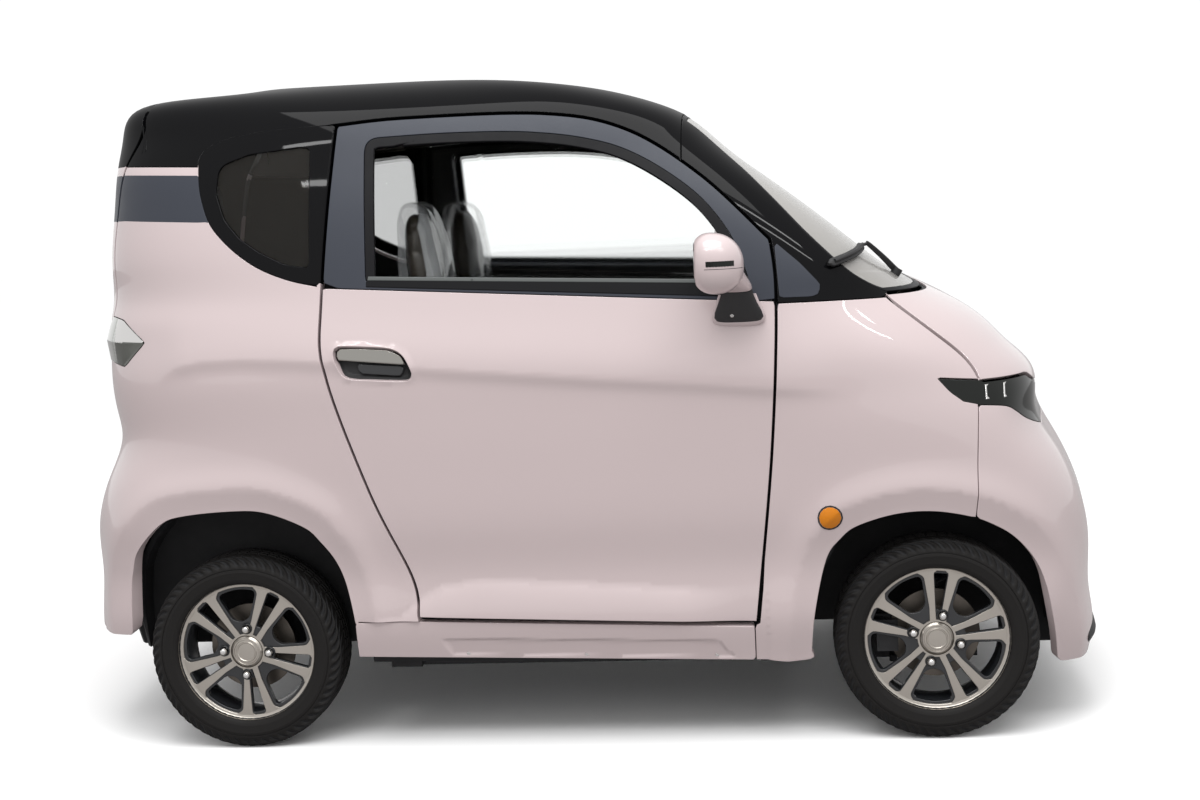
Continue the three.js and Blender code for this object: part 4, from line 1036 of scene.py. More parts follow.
def treadRelief(angle, across, s=wheelSettings):
    """Depth cut into the tread: three grooves round it and curved ones over the shoulders."""
    blocks = s["shoulderBlocks"]
    edge = np.abs(across)
    rings = sum(np.exp(-(((across - at) / 0.045) ** 4)) for at in (-0.36, 0.0, 0.36))
    lead = blocks * angle / (2 * math.pi) + grooveLean(across)
    cell = np.abs((lead % 1) - 0.5)
    wide = np.interp(edge, [0.4, 0.8, 1.15], [0.10, 0.15, 0.2])
    cross = np.clip((wide - cell) / 0.07 + 0.5, 0, 1) * np.clip((edge - 0.42) / 0.06, 0, 1)
    half = np.clip((1.425 - edge) / 0.02, 0, 1)
    sipes = np.clip((0.07 - cell) / 0.04, 0, 1) * (edge < 0.34) * (edge > 0.05) * 0.6
    return s["treadGroove"] * np.clip(np.maximum(np.maximum(rings, cross * half), sipes), 0, 1)


def tyreData(s=wheelSettings):
    """The tyre: a bead, sidewall rings, a shoulder and the tread, with grooves cut in it."""
    wall = smooth([[179, 60], [183, 66], [190, 69], [200, 71.4], [208, 72.4], [216, 72.2]], 60)
    at = np.array([179, 182, 186, 189.8, 191, 192, 193, 194.2, 200, 206, 209.4, 210.4, 211, 211.6, 212.6, 215.9])
    half = np.stack([at, np.interp(at, wall[:, 0], wall[:, 1])], 1)
    step = np.array([[217, 71.9], [218, 70.3], [219, 70.2], [220, 71.6], [224, 71.4], [228, 70.8], [232, 69.8],
                     [236, 68.6], [240, 66.9], [243.5, 64.6], [246.5, 61.5], [248.6, 58], [249.8, 54.5]])
    at = np.array([50, 46, 42, 37, 32, 26, 21.4, 19.8, 18, 16.2, 14.6, 9, 3.4, 1.8, 0])
    crown = np.stack([np.interp(at, [0, 20, 40, 50], [252, 251.8, 251, 250.2]), at], 1)
    outer = np.concatenate([half, step, crown])
    inner = np.concatenate([half[[0, 3, 8, 15]], step[::2], crown])
    profile = np.concatenate([outer, (inner * [1, -1])[::-1][1:]])
    radius, y = profile[:, 0][:, None], profile[:, 1][:, None]
    # Columns lean with the shoulder grooves, so each groove's edges lie on the mesh's own lines.
    blocks = (np.arange(s["shoulderBlocks"])[:, None] + [0, 0.3, 0.38, 0.5, 0.62, 0.7]).ravel()
    angle = 2 * math.pi / s["shoulderBlocks"] * (blocks[None] - grooveLean(y / 50.0))
    grooves = treadRelief(angle, y / 50.0) * np.clip((radius - 222) / 4, 0, 1)
    ring = 0.5 * np.exp(-(((radius - 192) / 1.6) ** 2)) + 0.6 * np.exp(-(((radius - 211) / 1.2) ** 2))
    # The cut runs in along the section's own direction: down on the crown, sideways on the shoulder.
    lean = np.clip((np.abs(y) - 48) / 20, 0, 1)
    r = radius - grooves * (1 - 0.7 * lean)
    yy = y + np.sign(y) * (ring - grooves * 0.9 * lean)
    verts = np.stack([r * np.sin(angle), yy + 0 * r, r * np.cos(angle)], -1)
    faces = gridFaces(len(profile), len(blocks), wrapCols=True)
    cut = np.broadcast_to(grooves, r.shape).reshape(-1)[faces].mean(1) > 0.5 * s["treadGroove"]
    return joinData([(verts.reshape(-1, 3), faces, cut.astype(int))], [tyreRubber, linerBlack])


def wheelPlane(bulge):
    """The wheel's front face: a plane across the Y axis, a little domed."""
    return lambda a, b: np.stack([a, wheelSettings["face"] + bulge - 3.0 * (np.hypot(a, b) / 178.0) ** 2, b], -1)


def polar(points, turn):
    """Corners given as (radius, degrees, rounding) turned by an angle, as a rounded outline."""
    return rounded([[r * math.sin(math.radians(d + turn)), r * math.cos(math.radians(d + turn)), k]
                    for r, d, k in points], 5)


def plate(loops, mat, bulge, thickness, radius, spacing):
    """A flat part of the wheel's face."""
    return panel(loops, mat, sheet=wheelPlane(bulge), thickness=thickness, radius=radius, spacing=spacing, turns=3)


def circle(radius, count=72):
    """A circle about the hub's middle."""
    angle = np.linspace(0, 2 * math.pi, count, endpoint=False)
    return np.stack([radius * np.sin(angle), radius * np.cos(angle)], 1)


def rimData(s=wheelSettings):
    """The wheel's face: a dark disc with windows and slots, and a pair of bright spokes beside each slot."""
    rim, step = s["rim"], 360 / s["pairs"]
    window = [(0.91 * rim, -18.6, 14), (0.925 * rim, 0, 200), (0.91 * rim, 18.6, 14), (0.50 * rim, 14.5, 22),
              (0.43 * rim, 0, 30), (0.50 * rim, -14.5, 22)]
    slot = [(0.915 * rim, -5.8, 3), (0.915 * rim, 5.8, 3), (0.40 * rim, 4.9, 2), (0.40 * rim, -4.9, 2)]
    spoke = [(0.25 * rim, 5.6, 0), (0.40 * rim, 6.6, 0), (0.925 * rim, 6.4, 4), (0.952 * rim, 3.4, 3),
             (0.968 * rim, 3.3, 0), (0.968 * rim, 21.5, 0), (0.95 * rim, 19.8, 6), (0.89 * rim, 15.3, 24),
             (0.45 * rim, 17.0, 10), (0.25 * rim, 26.0, 0)]
    windows = [polar(window, step * (k + 0.5)) for k in range(s["pairs"])]
    slots = [polar(slot, step * k) for k in range(s["pairs"])]
    plates = [(plate([circle(0.96 * rim), *windows, *slots], alloyDark, -3.5, 20, 2.0, 9), 1)]
    for k in range(s["pairs"]):
        for lean in (-1, 1):
            outline = polar([(r, lean * d, q) for r, d, q in spoke], step * k)
            plates.append((plate([outline], alloyFace, 0, 4.5, 0.8, 8), 0))
    return joinData([(data["verts"], data["faces"], m) for data, m in plates], [alloyFace, alloyDark],
                    np.concatenate([data["normals"] for data, _ in plates]))


def barrelData(s=wheelSettings):
    """The rim's barrel and lips, the hub, the cap, the nuts and the brake disc."""
    lip = [[168, 45], [169.5, 48.5], [171.5, 49.6], [175, 50.5], [178.2, 54], [179.4, 59.5], [179.4, 56]]
    barrel = [[179.2, 57], [174, 47], [169, 44], [163, 38], [158, 15], [160, -30], [166, -52], [174, -58],
              [179, -60], [179.2, -50]]
    hub = [[0, 20], [46, 20], [50, 34], [50, 49], [0, 49]]
    cap = [[0, 57.5], [16, 57.3], [22, 56.8], [23.5, 58.4], [25.5, 58.4], [27, 56.6], [31, 56], [32.5, 58],
           [35, 57.6], [37, 55], [40, 53], [42, 49], [43, 44]]
    capRing = [[41.5, 46], [42.4, 52.6], [47, 52.4], [48, 46]]
    # The disc and its hat take the darkened brake steel: painted shade inside the wheel.
    disc = [[0, -18], [s["discRadius"], -18], [s["discRadius"], -8], [0, -8]]
    discHat = [[0, -8], [70, -8], [70, 2], [46, 6], [46, 34], [0, 34]]
    parts = [(*lathe(profile, around), m) for profile, around, m in (
        (smooth(lip, 20)[::-1], 96, 0), (smooth(barrel, 22)[::-1], 64, 1), (hub[::-1], 48, 1), (cap, 64, 0),
        (capRing, 64, 0), (disc[::-1], 72, 3), (discHat[::-1], 48, 3))]
    nutSeat = smooth([[10, 52], [12, 54.5], [14.5, 54.2], [15.5, 46]], 10)
    nut = smooth([[0, 70], [4.5, 69], [8, 66], [9.6, 62], [9.8, 58], [9.8, 46]], 16)
    for k in range(s["nuts"]):
        a = math.radians(360 / s["nuts"] * k + s["nutTurn"])
        at = np.array([s["nutCircle"] * math.sin(a), 0, s["nutCircle"] * math.cos(a)])
        for profile, around, m in ((nutSeat, 20, 1), (nut, 24, 2)):
            verts, faces = lathe(profile, around)
            parts.append((verts + at, faces, m))
    return joinData(parts, [alloyFace, alloyDark, chrome, steel])


wheelParts = ((tyreData(), "tyre_tread", "tyre", 50), (rimData(), "spokes", "rim", 35),
              (barrelData(), "barrel", "rim", 35))
for corner in ("front", "rear"):
    for lateral in ("left", "right"):
        for data, stem, node, sharp in wheelParts:
            wheelObject(data, stem, node, corner, lateral, sharp)
print("stage: wheels")


# Bars, prisms and lofts.
def loft(sections, around=48, power=2.4):
    """Superelliptic rings from rows of centre (x, y, z), first and second half axes as vectors."""
    angle = np.linspace(0, 2 * math.pi, around, endpoint=False)
    c, n = np.cos(angle), np.sin(angle)
    size = (np.abs(c) ** power + np.abs(n) ** power) ** (-1 / power)
    rows = [np.array(centre, float) + (c * size)[:, None] * np.array(first, float)
            + (n * size)[:, None] * np.array(second, float) for centre, first, second in sections]
    verts = np.concatenate([np.concatenate(rows), [rows[0].mean(0), rows[-1].mean(0)]])
    faces = gridFaces(len(rows), around, wrapCols=True)
    k = np.arange(around)
    count = len(rows) * around
    caps = np.concatenate([
        np.stack([np.full(around, count), (k + 1) % around, k], 1),
        np.stack([np.full(around, count + 1), count - around + k, count - around + (k + 1) % around], 1)])
    return verts, [caps, faces]


def leaned(rows, around=44, power=2.6):
    """A loft from rows of x, y, z, half length along x, and the y and z of the other half axis."""
    return loft([((x, y, z), (a, 0, 0), (0, b, c)) for x, y, z, a, b, c in rows], around, power)


def lifted(u, w, height):
    """Points above the body's surface by a height, and the surface's normals."""
    p = skinPoint(u, w)
    n = unit(np.cross(skinPoint(u + 2, w) - p, skinPoint(u, w + 2) - p))
    n = np.where((n * (p - insidePoint)).sum(-1, keepdims=True) < 0, -n, n)
    return p + n * np.asarray(height)[..., None], n


def bar(points, half, wide=None, around=16, power=2.0, turn=None):
    """A bar along points, with half its thickness and, when not round, half its width along turn."""
    points = np.array(points, float)
    half = np.broadcast_to(np.asarray(half, float), len(points))
    wide = half if wide is None else np.broadcast_to(np.asarray(wide, float), len(points))
    along = unit(np.gradient(points, axis=0))
    beside = np.array((0.31, 0.83, 0.46) if turn is None else turn, float)
    first = unit(np.cross(np.cross(along, beside), along))
    second = np.cross(along, first)
    return loft([(p, a * w, b * h) for p, a, b, w, h in zip(points, first, second, wide, half)], around, power)


def rodBetween(a, b, radius, around=20):
    """A round rod between two points, its ends a little bevelled."""
    a, b = np.array(a, float), np.array(b, float)
    along = unit(b - a)
    edge = min(1.2, radius * 0.25)
    points = np.array([a, a + along * edge, b - along * edge, b])
    return bar(points, [radius - edge, radius, radius, radius - edge], around=around)


def prism(outline, y0, y1, edge=0.8):
    """A flat piece across the car, from an outline in x and z, with its edges broken."""
    outline = np.array(outline, float)
    rows = []
    for y, shrink in ((y0, edge), (y0 + edge, 0), (y1 - edge, 0), (y1, edge)):
        rim = offsetLoop(outline, shrink)
        rows.append(np.stack([rim[:, 0], np.full(len(rim), float(y)), rim[:, 1]], 1))
    count = len(outline)
    verts = np.concatenate(rows)
    ab, tris = delaunay(offsetLoop(outline, edge), [(k, (k + 1) % count) for k in range(count)], 1e-5)
    tris = tris[insidePolygon(ab[tris].mean(1), offsetLoop(outline, edge))]
    return verts, [gridFaces(4, count, wrapCols=True), tris, tris[:, ::-1] + 3 * count]


def sized(x, y, z, edge=4.0, around=32):
    """A box with round edges between limits (x0, x1), (y0, y1), (z0, z1)."""
    c = [(a + b) / 2 for a, b in (x, y, z)]
    h = [(b - a) / 2 for a, b in (x, y, z)]
    bend = np.linspace(0, math.pi / 2, 5)
    steps = [(z[0] + edge * (1 - math.cos(t)), edge * (1 - math.sin(t))) for t in bend]
    steps += [(z[1] - edge * (1 - math.cos(t)), edge * (1 - math.sin(t))) for t in bend[::-1]]
    return loft([((c[0], c[1], at), (h[0] - inward, 0, 0), (0, h[1] - inward, 0)) for at, inward in steps],
                around, 14)


# Door handles and door trim.
handleSettings = {"pocket": 16.0, "flapLift": 1.6}


def bowl(x, y, z):
    """The handle's pocket: it falls away from its outline to a flat floor."""
    d = pathDistance(np.stack([x.ravel(), z.ravel()], 1), handleLine).reshape(x.shape)
    return -handleSettings["pocket"] * np.clip(d / 13, 0, 1) ** 0.7


sidePanel("handle_pocket", [offsetLoop(handleLine, 0.6)], blackPlastic, **onDoor, relief=bowl, depth=1.5,
          thickness=5, radius=1, spacing=5)
flapLine = rounded([[-573, 1001, 4], [-577, 1019, 8], [-567, 1030, 8], [-500, 1028, 30], [-441, 1022, 30],
                    [-413, 1007, 14], [-401, 984, 3]])
sidePanel("handle_flap", [flapLine], darkChrome, **onDoor, depth=-handleSettings["flapLift"], thickness=9,
          radius=3, spacing=6)
gripLine = rounded([[-528, 992, 4], [-520, 966, 12], [-414, 956, 12], [-406, 982, 4]])
sidePanel("handle_grip", [gripLine], alloyDark, **onDoor, depth=9, thickness=6, radius=3, spacing=6)

# The door's black weather strip, its belt strips and its inner trim.
stripInner = offsetLoop(doorGlassLine, 25)
stripFoot = np.interp(stripInner[:, 0], [-500, 449], [1188, 1144])
stripInner[:, 1] -= 19 * np.clip((stripFoot + 60 - stripInner[:, 1]) / 30, 0, 1)
sidePanel("door_strip", [offsetLoop(doorGlassLine, 1), stripInner], rubberSeal, **onDoor, depth=1.0, thickness=16,
          radius=2.4, spacing=10)
sidePanel("belt_strip", [[[-498, 1177], [-498, 1197], [436, 1153], [446, 1116]]], rubberSeal, **onDoor,
          depth=-0.6, thickness=12, radius=2.5, spacing=8)
sidePanel("belt_lip", [[[-494, 1193], [-494, 1203], [434, 1159], [438, 1149]]], beltTrim, **onDoor,
          depth=-1.6, thickness=8, radius=2, spacing=8)
trimLine = rounded([[-455, 370, 30], [-380, 345, 30], [405, 330, 40], [412, 1108, 30], [-585, 1160, 30],
                    [-580, 960, 60], [-495, 690, 60]])
sidePanel("door_trim", [trimLine], cabinTrim, **onDoor, depth=46, thickness=16, radius=6, spacing=26)


# Tail lamps, sill screws and side markers.
def lampFacets(x, y, z):
    """The tail lamp's facets fall from a ridge at half its height to its outline and its tip."""
    run = np.interp(x, [-1218, -1174, -1096], [1.0, 1.0, 0.0])
    reach = np.where(z > 1056, 60 * np.maximum(run, 0.02), 62 * np.maximum(run, 0.02))
    slope = np.clip(1 - np.abs(z - 1056) / reach, 0, 1)
    return 13 * np.interp(x, [-1200, -1096], [1.0, 0.0]) * slope - 1.2 * np.exp(-(((x + 1200) / 2.5) ** 2))


def lampPaint(x, y, z):
    """A clear lens round the corner, chrome above the ridge and a darker chrome below it: painted shade on the
    lower facets.
    """
    return np.where(x < -1200, 0, np.where(z > 1056, 2, 1))


# The lower facets take the darker chrome: painted shade.
panelPair("tail_lamp_lens", [lampLoop(0.5, 8)], [lensClear, lampPaintedShade, chrome], node="tail_lamp_SIDE",
          relief=lampFacets, thickness=18, radius=1, spacing=5, paintBy=lampPaint,
          marks=[side([[-1200, 1113], [-1200, 997]]), side([[-1260, 1056], [-1104, 1056]])])
markerSettings = {"at": (621.0, 575.0), "radius": 27.0, "rim": 31.0, "dome": 6.0}


def roundOn(at, radius, count=40):
    """A circle in side view, laid on the body."""
    angle = np.linspace(0, 2 * math.pi, count, endpoint=False)
    return side(np.stack([at[0] + radius * np.cos(angle), at[1] + radius * np.sin(angle)], 1))


screwSettings = {"at": ((-292, 245), (7, 236), (333, 228)), "radius": 6.5}
for number, place in enumerate(screwSettings["at"], 1):
    panelPair(f"sill_screw_{number}", [roundOn(place, screwSettings["radius"], 20)], chrome, node="sill_SIDE",
              depth=-0.5, thickness=4, radius=1.5, spacing=3)


def markerDome(x, y, z, s=markerSettings):
    """The side marker bulges over the body's own surface."""
    d = np.hypot(x - s["at"][0], z - s["at"][1]) / s["radius"]
    return sideRelief(x, y, z) + s["dome"] * np.clip(1 - d**2, 0, 1)


markerLens, markerOuter, markerInner = (
    roundOn(markerSettings["at"], radius)
    for radius in (markerSettings["radius"], markerSettings["rim"], markerSettings["radius"] + 0.4))
panelPair("side_marker", [markerLens], lensOrange, relief=markerDome, depth=-1, thickness=6, radius=1, spacing=4)
panelPair("side_marker_rim", [markerOuter, markerInner], blackPlastic, relief=sideRelief, depth=-1.5,
          thickness=5, radius=1, spacing=4)

# Mirrors.
mirrorSettings = {"rear": 322.0, "front": 436.0, "y": -848.0, "z": 1205.0, "halfWidth": 76.0, "halfHeight": 72.0,
                  "fullest": 0.36}


def housingSize(t, s=mirrorSettings):
    """The housing's share of its full size from its glass, t = 0, to its nose, t = 1."""
    behind = np.clip((s["fullest"] - t) / (s["fullest"] + 0.12), 0, 1)
    ahead = np.clip((t - s["fullest"]) / (1 - s["fullest"]), 0, 1)
    return np.where(t < s["fullest"], (1 - behind**2.3) ** (1 / 2.3), (1 - ahead**2.2) ** (1 / 2.2))


def mirrorSections(s=mirrorSettings):
    """Rings of the housing from its glass to its nose."""
    rows = []
    for t in np.concatenate([[0, 0.008, 0.02], np.linspace(0.04, 0.9, 24), [0.94, 0.97, 0.985, 0.995, 0.9995]]):
        size = float(housingSize(t)) * (1 - 0.05 * math.exp(-t / 0.01))
        rows.append(((s["rear"] + (s["front"] - s["rear"]) * t, s["y"], s["z"] + 3 - 8 * t),
                     (0, s["halfWidth"] * size, 0), (0, 0, s["halfHeight"] * size)))
    return rows


housing = loft(mirrorSections())
neck = leaned([(416, -776, 1139, 35, 24, 6), (415.5, -780, 1143, 37, 26, 7), (414, -792, 1152, 35, 29, 9),
               (409, -808, 1164, 33, 32, 12), (400, -824, 1178, 34, 38, 14), (388, -836, 1196, 38, 42, 10)])
foot = leaned([(418, -733, 1052, 30, 4, 0), (418, -736, 1056, 44, 8, 0), (418, -741, 1062, 54, 12, 0),
               (418, -744, 1070, 59, 15, 0), (417, -750, 1084, 56, 19, 0), (416, -760, 1106, 46, 22, 2),
               (416, -768, 1122, 40, 23, 4), (416, -776, 1138, 36, 24, 6)])
glassFace = loft([((321.6, -848, 1212), (0, 52, 0), (0, 0, 45)), ((320.6, -848, 1212), (0, 51, 0), (0, 0, 44))])
footScrews = [(*rodBetween((x, y + 3, z), (x, y - 1.8, z), 4.5), 2) for x, y, z in
              ((388, -779, 1118), (446, -779, 1118), (402, -764, 1076))]
footRim = leaned([(418, -729, 1045, 32, 4, 0), (418, -731, 1049, 49, 8, 0), (418, -735, 1056, 60, 11, 0),
                  (418, -738, 1068, 65, 12, 0), (417, -741, 1084, 62, 12, 0), (416, -746, 1106, 52, 12, 0),
                  (416, -752, 1126, 45, 11, 0)])


def housingSide(x, z, s=mirrorSettings):
    """The y of the housing's outer side at x and z."""
    t = (x - s["rear"]) / (s["front"] - s["rear"])
    size = housingSize(t)
    share = np.clip(np.abs(z - s["z"] - 3 + 8 * t) / (s["halfHeight"] * size), 0, 0.98)
    return s["y"] - s["halfWidth"] * size * (1 - share**2.4) ** (1 / 2.4)


def mirrorStrip(x, z, edges):
    """A strip lying on the housing's outer side, from the height and the lift of each of its long edges."""
    rows = [np.stack([x, housingSide(x, z + dz) - lift, np.full(len(x), z + dz)], 1) for dz, lift in edges]
    return np.concatenate(rows), gridFaces(len(rows), len(x))


# The dark repeater slot with its ribs, and the thin parting line under it.
slotLift = 1.2 - 0.8 * (np.arange(40) % 4 < 2)
mirrorSlot = mirrorStrip(np.linspace(349, 414, 40), 1206.0,
                         [(-7, -2.0), (-6, slotLift), (6, slotLift), (7, -2.0)])
mirrorSeam = mirrorStrip(np.linspace(345, 433, 50), 1194.0,
                         [(-0.9, -0.6), (-0.5, 0.15), (0.5, 0.15), (0.9, -0.6)])
mirrorData = joinData([(*housing, 0), (*neck, 0), (*foot, 1), (*glassFace, 2), (*mirrorSlot, 3), (*mirrorSeam, 4),
                       (*footRim, 0)] + footScrews, [paintPink, blackPlastic, chrome, lensSmoke, linerBlack])
bothSides(mirrorData, "mirror_body", "door_SIDE", "mirror_SIDE", sharp=40)

# The seal round the door opening and the walls of the wheel wells.
doorOutline = np.concatenate([doorFront, doorTop[1:], doorRear[1:], [[-330, 344], [0, 330], [300, 320]]])
sealStep = np.where(doorOutline[:, 0] > 380, 3.0, 14.0)
sidePanel("door_seal", [offsetLoop(doorOutline, -9), offsetLoop(doorOutline, sealStep)], rubberSeal, depth=43,
          thickness=5, radius=1, spacing=15)
wallSettings = {"y": (406.0, 412.0), "line": [[1060, 170], [1210, 170], [1250, 240], [1250, 590], [1060, 590]]}
for lateral, sign in sideSign.items():
    wall = prism(wallSettings["line"], *sorted(sign * y for y in wallSettings["y"]))
    single(joinData([(*wall, 0)], [linerBlack]), f"well_wall_{lateral}")

# Wiper and cowl.
wiperSettings = {"pivot": (813.0, -456.0, 1146.0), "knee": (736.0, -541.0, 1226.0), "bladeStart": (520.0, 1216.0),
                 "bladeEnd": (672.0, 1182.0), "heights": (1.5, 10.0, 17.0)}


def wiperBlade(s=wiperSettings):
    """The blade's rubber, spine and cap, and the points of its spine."""
    start, end = (locateAcross(*s[k], False) for k in ("bladeStart", "bladeEnd"))
    share = np.linspace(0, 1, 40)
    uw = start + (end - start) * share[:, None]
    (rubber, n), (spine, _), (cap, _) = (lifted(uw[:, 0], uw[:, 1], height) for height in s["heights"])
    fade = np.clip(np.minimum(share, 1 - share) / 0.06, 0.35, 1)
    return [(*bar(rubber, 1.2, 4.5, 10, 3, turn=n[20]), 1), (*bar(spine, 11 * fade, 6, 12, 3, turn=n[20]), 0),
            (*bar(cap[4:36], 5.2 * fade[4:36], 6.0 * fade[4:36], 12, 2.5, turn=n[20]), 0)], spine


bladeParts, bladeSpine = wiperBlade()
pivot, knee = (np.array(wiperSettings[k]) for k in ("pivot", "knee"))
bladeMiddle = bladeSpine[20] + [6, 0, 6]
armPath = smooth([pivot + [4, 0, 6], pivot + [-8, -8, 18], pivot * 0.5 + knee * 0.5 + [4, 0, 6], knee + [6, 6, 0],
                  knee, knee * 0.6 + bladeMiddle * 0.4 + [0, 0, 3], bladeMiddle], 40)
taper = np.interp(np.linspace(0, 1, len(armPath)), [0, 0.2, 0.6, 1], [1, 1, 0.62, 0.55])
single(joinData(bladeParts + [
    (*bar(armPath, 4.5 * taper, 8.0 * taper, 14, 3.5, turn=(0.5, -0.3, 0.8)), 0),
    (*rodBetween(pivot - [9, 0, 14], pivot + [8, 0, 13], 13), 0),
    (*rodBetween(pivot - [14, 0, 22], pivot + [-8, 0, -13], 20), 0)], [blackPlastic, rubberSeal]), "wiper")
# The cowl strip stops on each side of the hood's arms.
cowlHalf = np.concatenate([heightLine(1107.5, 0, locateAcross(448, 1107.5, False)[0], 60),
                           heightLine(1096, locateAcross(448, 1096, False)[0], 0, 60)])
onePanel("cowl_strip", [across(cowlHalf)], linerBlack, depth=7, thickness=4, radius=1, spacing=6)
cowlEnd = np.concatenate([heightLine(1107.5, locateAcross(506, 1107.5, False)[0], locate(776, 1107.5)[0], 40),
                          heightLine(1096, locate(780, 1096)[0], locateAcross(506, 1096, False)[0], 40)])
panelPair("cowl_end", [cowlEnd], linerBlack, depth=7, thickness=4, radius=1, spacing=6)

# Hood arms and tailgate lugs.
armSettings = {"pivot": (720.0, 1100.0), "plate": (487, 497), "pin": (466, 500, 6), "head": (463, 467, 10)}
gooseNeck = np.array(armSettings["pivot"]) + rounded([
    [-12, 8, 4], [12, 8, 4], [24, -88, 20], [62, -112, 20], [130, -84, 20], [200, -40, 8], [216, -54, 4],
    [140, -104, 16], [56, -134, 24], [4, -100, 24]])
lugSettings = {"at": (roofRearX - 18, 1668.0), "y": 120, "half": 7, "pinHalf": 24, "pinRadius": 3}
lugX, lugZ = lugSettings["at"]
lugLine = rounded([[lugX - 6, lugZ - 8, 4], [lugX - 6, lugZ + 4, 4], [roofRearX + 20, lugZ + 6, 2],
                   [roofRearX + 20, lugZ - 10, 2]])


def pinAcross(at, y0, y1, radius):
    """A pin across the car at (x, z)."""
    return (*rodBetween((at[0], y0, at[1]), (at[0], y1, at[1]), radius), 0)


for lateral, sign in sideSign.items():
    goose = prism(gooseNeck, *sorted(sign * y for y in armSettings["plate"]))
    pins = [pinAcross(armSettings["pivot"], sign * y0, sign * y1, radius)
            for y0, y1, radius in (armSettings["pin"], armSettings["head"])]
    single(joinData([(*goose, 0)] + pins, [steel]), f"hood_arm_{lateral}", "hood", "hood")
for lateral, sign in sideSign.items():
    y, half, pinHalf = sign * lugSettings["y"], lugSettings["half"], lugSettings["pinHalf"]
    pin = pinAcross(lugSettings["at"], y - pinHalf, y + pinHalf, lugSettings["pinRadius"])
    single(joinData([(*prism(lugLine, y - half, y + half), 0), pin], [steel]), f"tailgate_lug_{lateral}",
           node="roof")

# Head lamps' insides and rear handle.
lampChrome = {"at": (1006.0, 1060.0), "wide": 10.0, "bar": 4.0, "low": 843.0, "high": 879.0, "proud": 0.8}
for number, x0 in enumerate(lampChrome["at"], 1):
    low, high, x1, t = lampChrome["low"], lampChrome["high"], x0 + lampChrome["wide"], lampChrome["bar"]
    bracket = [[x0, low], [x1, low], [x1, low + t], [x0 + t, low + t], [x0 + t, high - t], [x1, high - t],
               [x1, high], [x0, high]]
    sidePanel(f"lamp_chrome_{number}", [bracket], chrome, node="front_lamps", depth=0.6 - lampChrome["proud"],
              thickness=4, radius=0.6, spacing=3)
gateHandleLine = np.concatenate([
    heightLine(945, lapHalf, locateAcross(95, 945, True)[0], 12),
    heightLine(985, locateAcross(95, 985, True)[0], lapHalf, 12)])
onePanel("tailgate_handle", [across(gateHandleLine, rear=True)], blackPlastic, body="tailgate",
         node="tailgate", depth=-6, thickness=12, radius=5, spacing=7)
print("stage: trim")

# Cabin.
seatSettings = {"middle": 330.0, "voxel": 0.0085, "pressure": 4.0, "frames": 20, "cap": 0.024, "shrink": 11.0}


def perVertex(mesh, what):
    """The mesh's coordinates or normals, one row a vertex."""
    values = np.empty(len(mesh.vertices) * 3, np.float32)
    mesh.vertices.foreach_get(what, values)
    return values.reshape(-1, 3)


def stuffed(name, data, s=seatSettings, channels=None):
    """A pad: its shape is filled with air by a cloth simulation, then sewn channels are pressed into it."""
    made = meshObject(name, data)
    facingOut(made)
    scene = bpy.context.scene
    remesh = made.modifiers.new("even", "REMESH")
    remesh.mode = "VOXEL"
    remesh.voxel_size = s["voxel"] * 1
    mesh = bpy.data.meshes.new_from_object(made.evaluated_get(bpy.context.evaluated_depsgraph_get()))
    made.modifiers.clear()
    made.data = mesh
    for m in data["mats"]:
        if m.name not in [x.name for x in mesh.materials if x]:
            mesh.materials.append(m)
    before = perVertex(mesh, "co")
    cloth = made.modifiers.new("air", "CLOTH")
    for key, value in {"use_pressure": True, "uniform_pressure_force": s["pressure"], "quality": 4,
                       "tension_stiffness": 20, "bending_stiffness": 1.5}.items():
        setattr(cloth.settings, key, value)
    cloth.settings.effector_weights.gravity = 0
    cloth.collision_settings.use_collision = False
    cloth.collision_settings.use_self_collision = False
    for step in range(1, s["frames"] + 1):
        scene.frame_set(step)
    swollen = made.evaluated_get(bpy.context.evaluated_depsgraph_get())
    move = perVertex(swollen.data, "co") - before
    size = np.linalg.norm(move, axis=1, keepdims=True)
    move *= np.minimum(1, s["cap"] / np.maximum(size, 1e-9))
    made.modifiers.remove(cloth)
    scene.frame_set(1)
    mesh.vertices.foreach_set("co", (before + move).ravel())
    mesh.update()
    if channels:
        at, n = perVertex(mesh, "co"), perVertex(mesh, "normal")
        at = at + n * channels(at * 1000 - [middle, 0, 0])[:, None] * 0.001
        mesh.vertices.foreach_set("co", at.ravel())
    mesh.polygons.foreach_set("use_smooth", np.ones(len(mesh.polygons), bool))
    mesh.update()
    return made


def padRows(path, thick, wide, ends=7):
    """Sections along a path in x and z whose ends close in round; thick is across the path, wide along y."""
    path, thick, wide = (np.array(a, float) for a in (path, thick, wide))
    along = unit(np.gradient(path, axis=0))
    length = pathLength(path)
    rows = []
    for t in np.r_[np.linspace(0, 0.09, ends), np.linspace(0.11, 0.89, 16), np.linspace(0.91, 1, ends)]:
        d = t * length[-1]
        x, z = np.interp(d, length, path[:, 0]), np.interp(d, length, path[:, 1])
        ax, az = np.interp(d, length, along[:, 0]), np.interp(d, length, along[:, 1])
        h, w = np.interp(d, length, thick), np.interp(d, length, wide)
        end = min(d, length[-1] - d)
        inward = h * (1 - math.sqrt(max(0.04, 1 - (1 - min(1, end / h)) ** 2)))
        rows.append(((x, 0, z), (-az * (h - inward * 0.9), 0, ax * (h - inward * 0.9)), (0, w - inward, 0)))
    return rows


def channelsAcross(p):
    """Piping seams and cross channels of the seat's back and cushion, as heights along the normal."""
    y = p[:, 1] + seatSettings["middle"]
    seam = -4.0 * np.exp(-(((np.abs(y) - 140) / 8) ** 2))
    inside = np.clip((138 - np.abs(y)) / 6, 0, 1)
    along = np.where(p[:, 2] > 600, p[:, 2], p[:, 0] + 1000)
    return seam - 3.2 * inside * np.exp(-((((along % 90) - 45) / 8) ** 2))


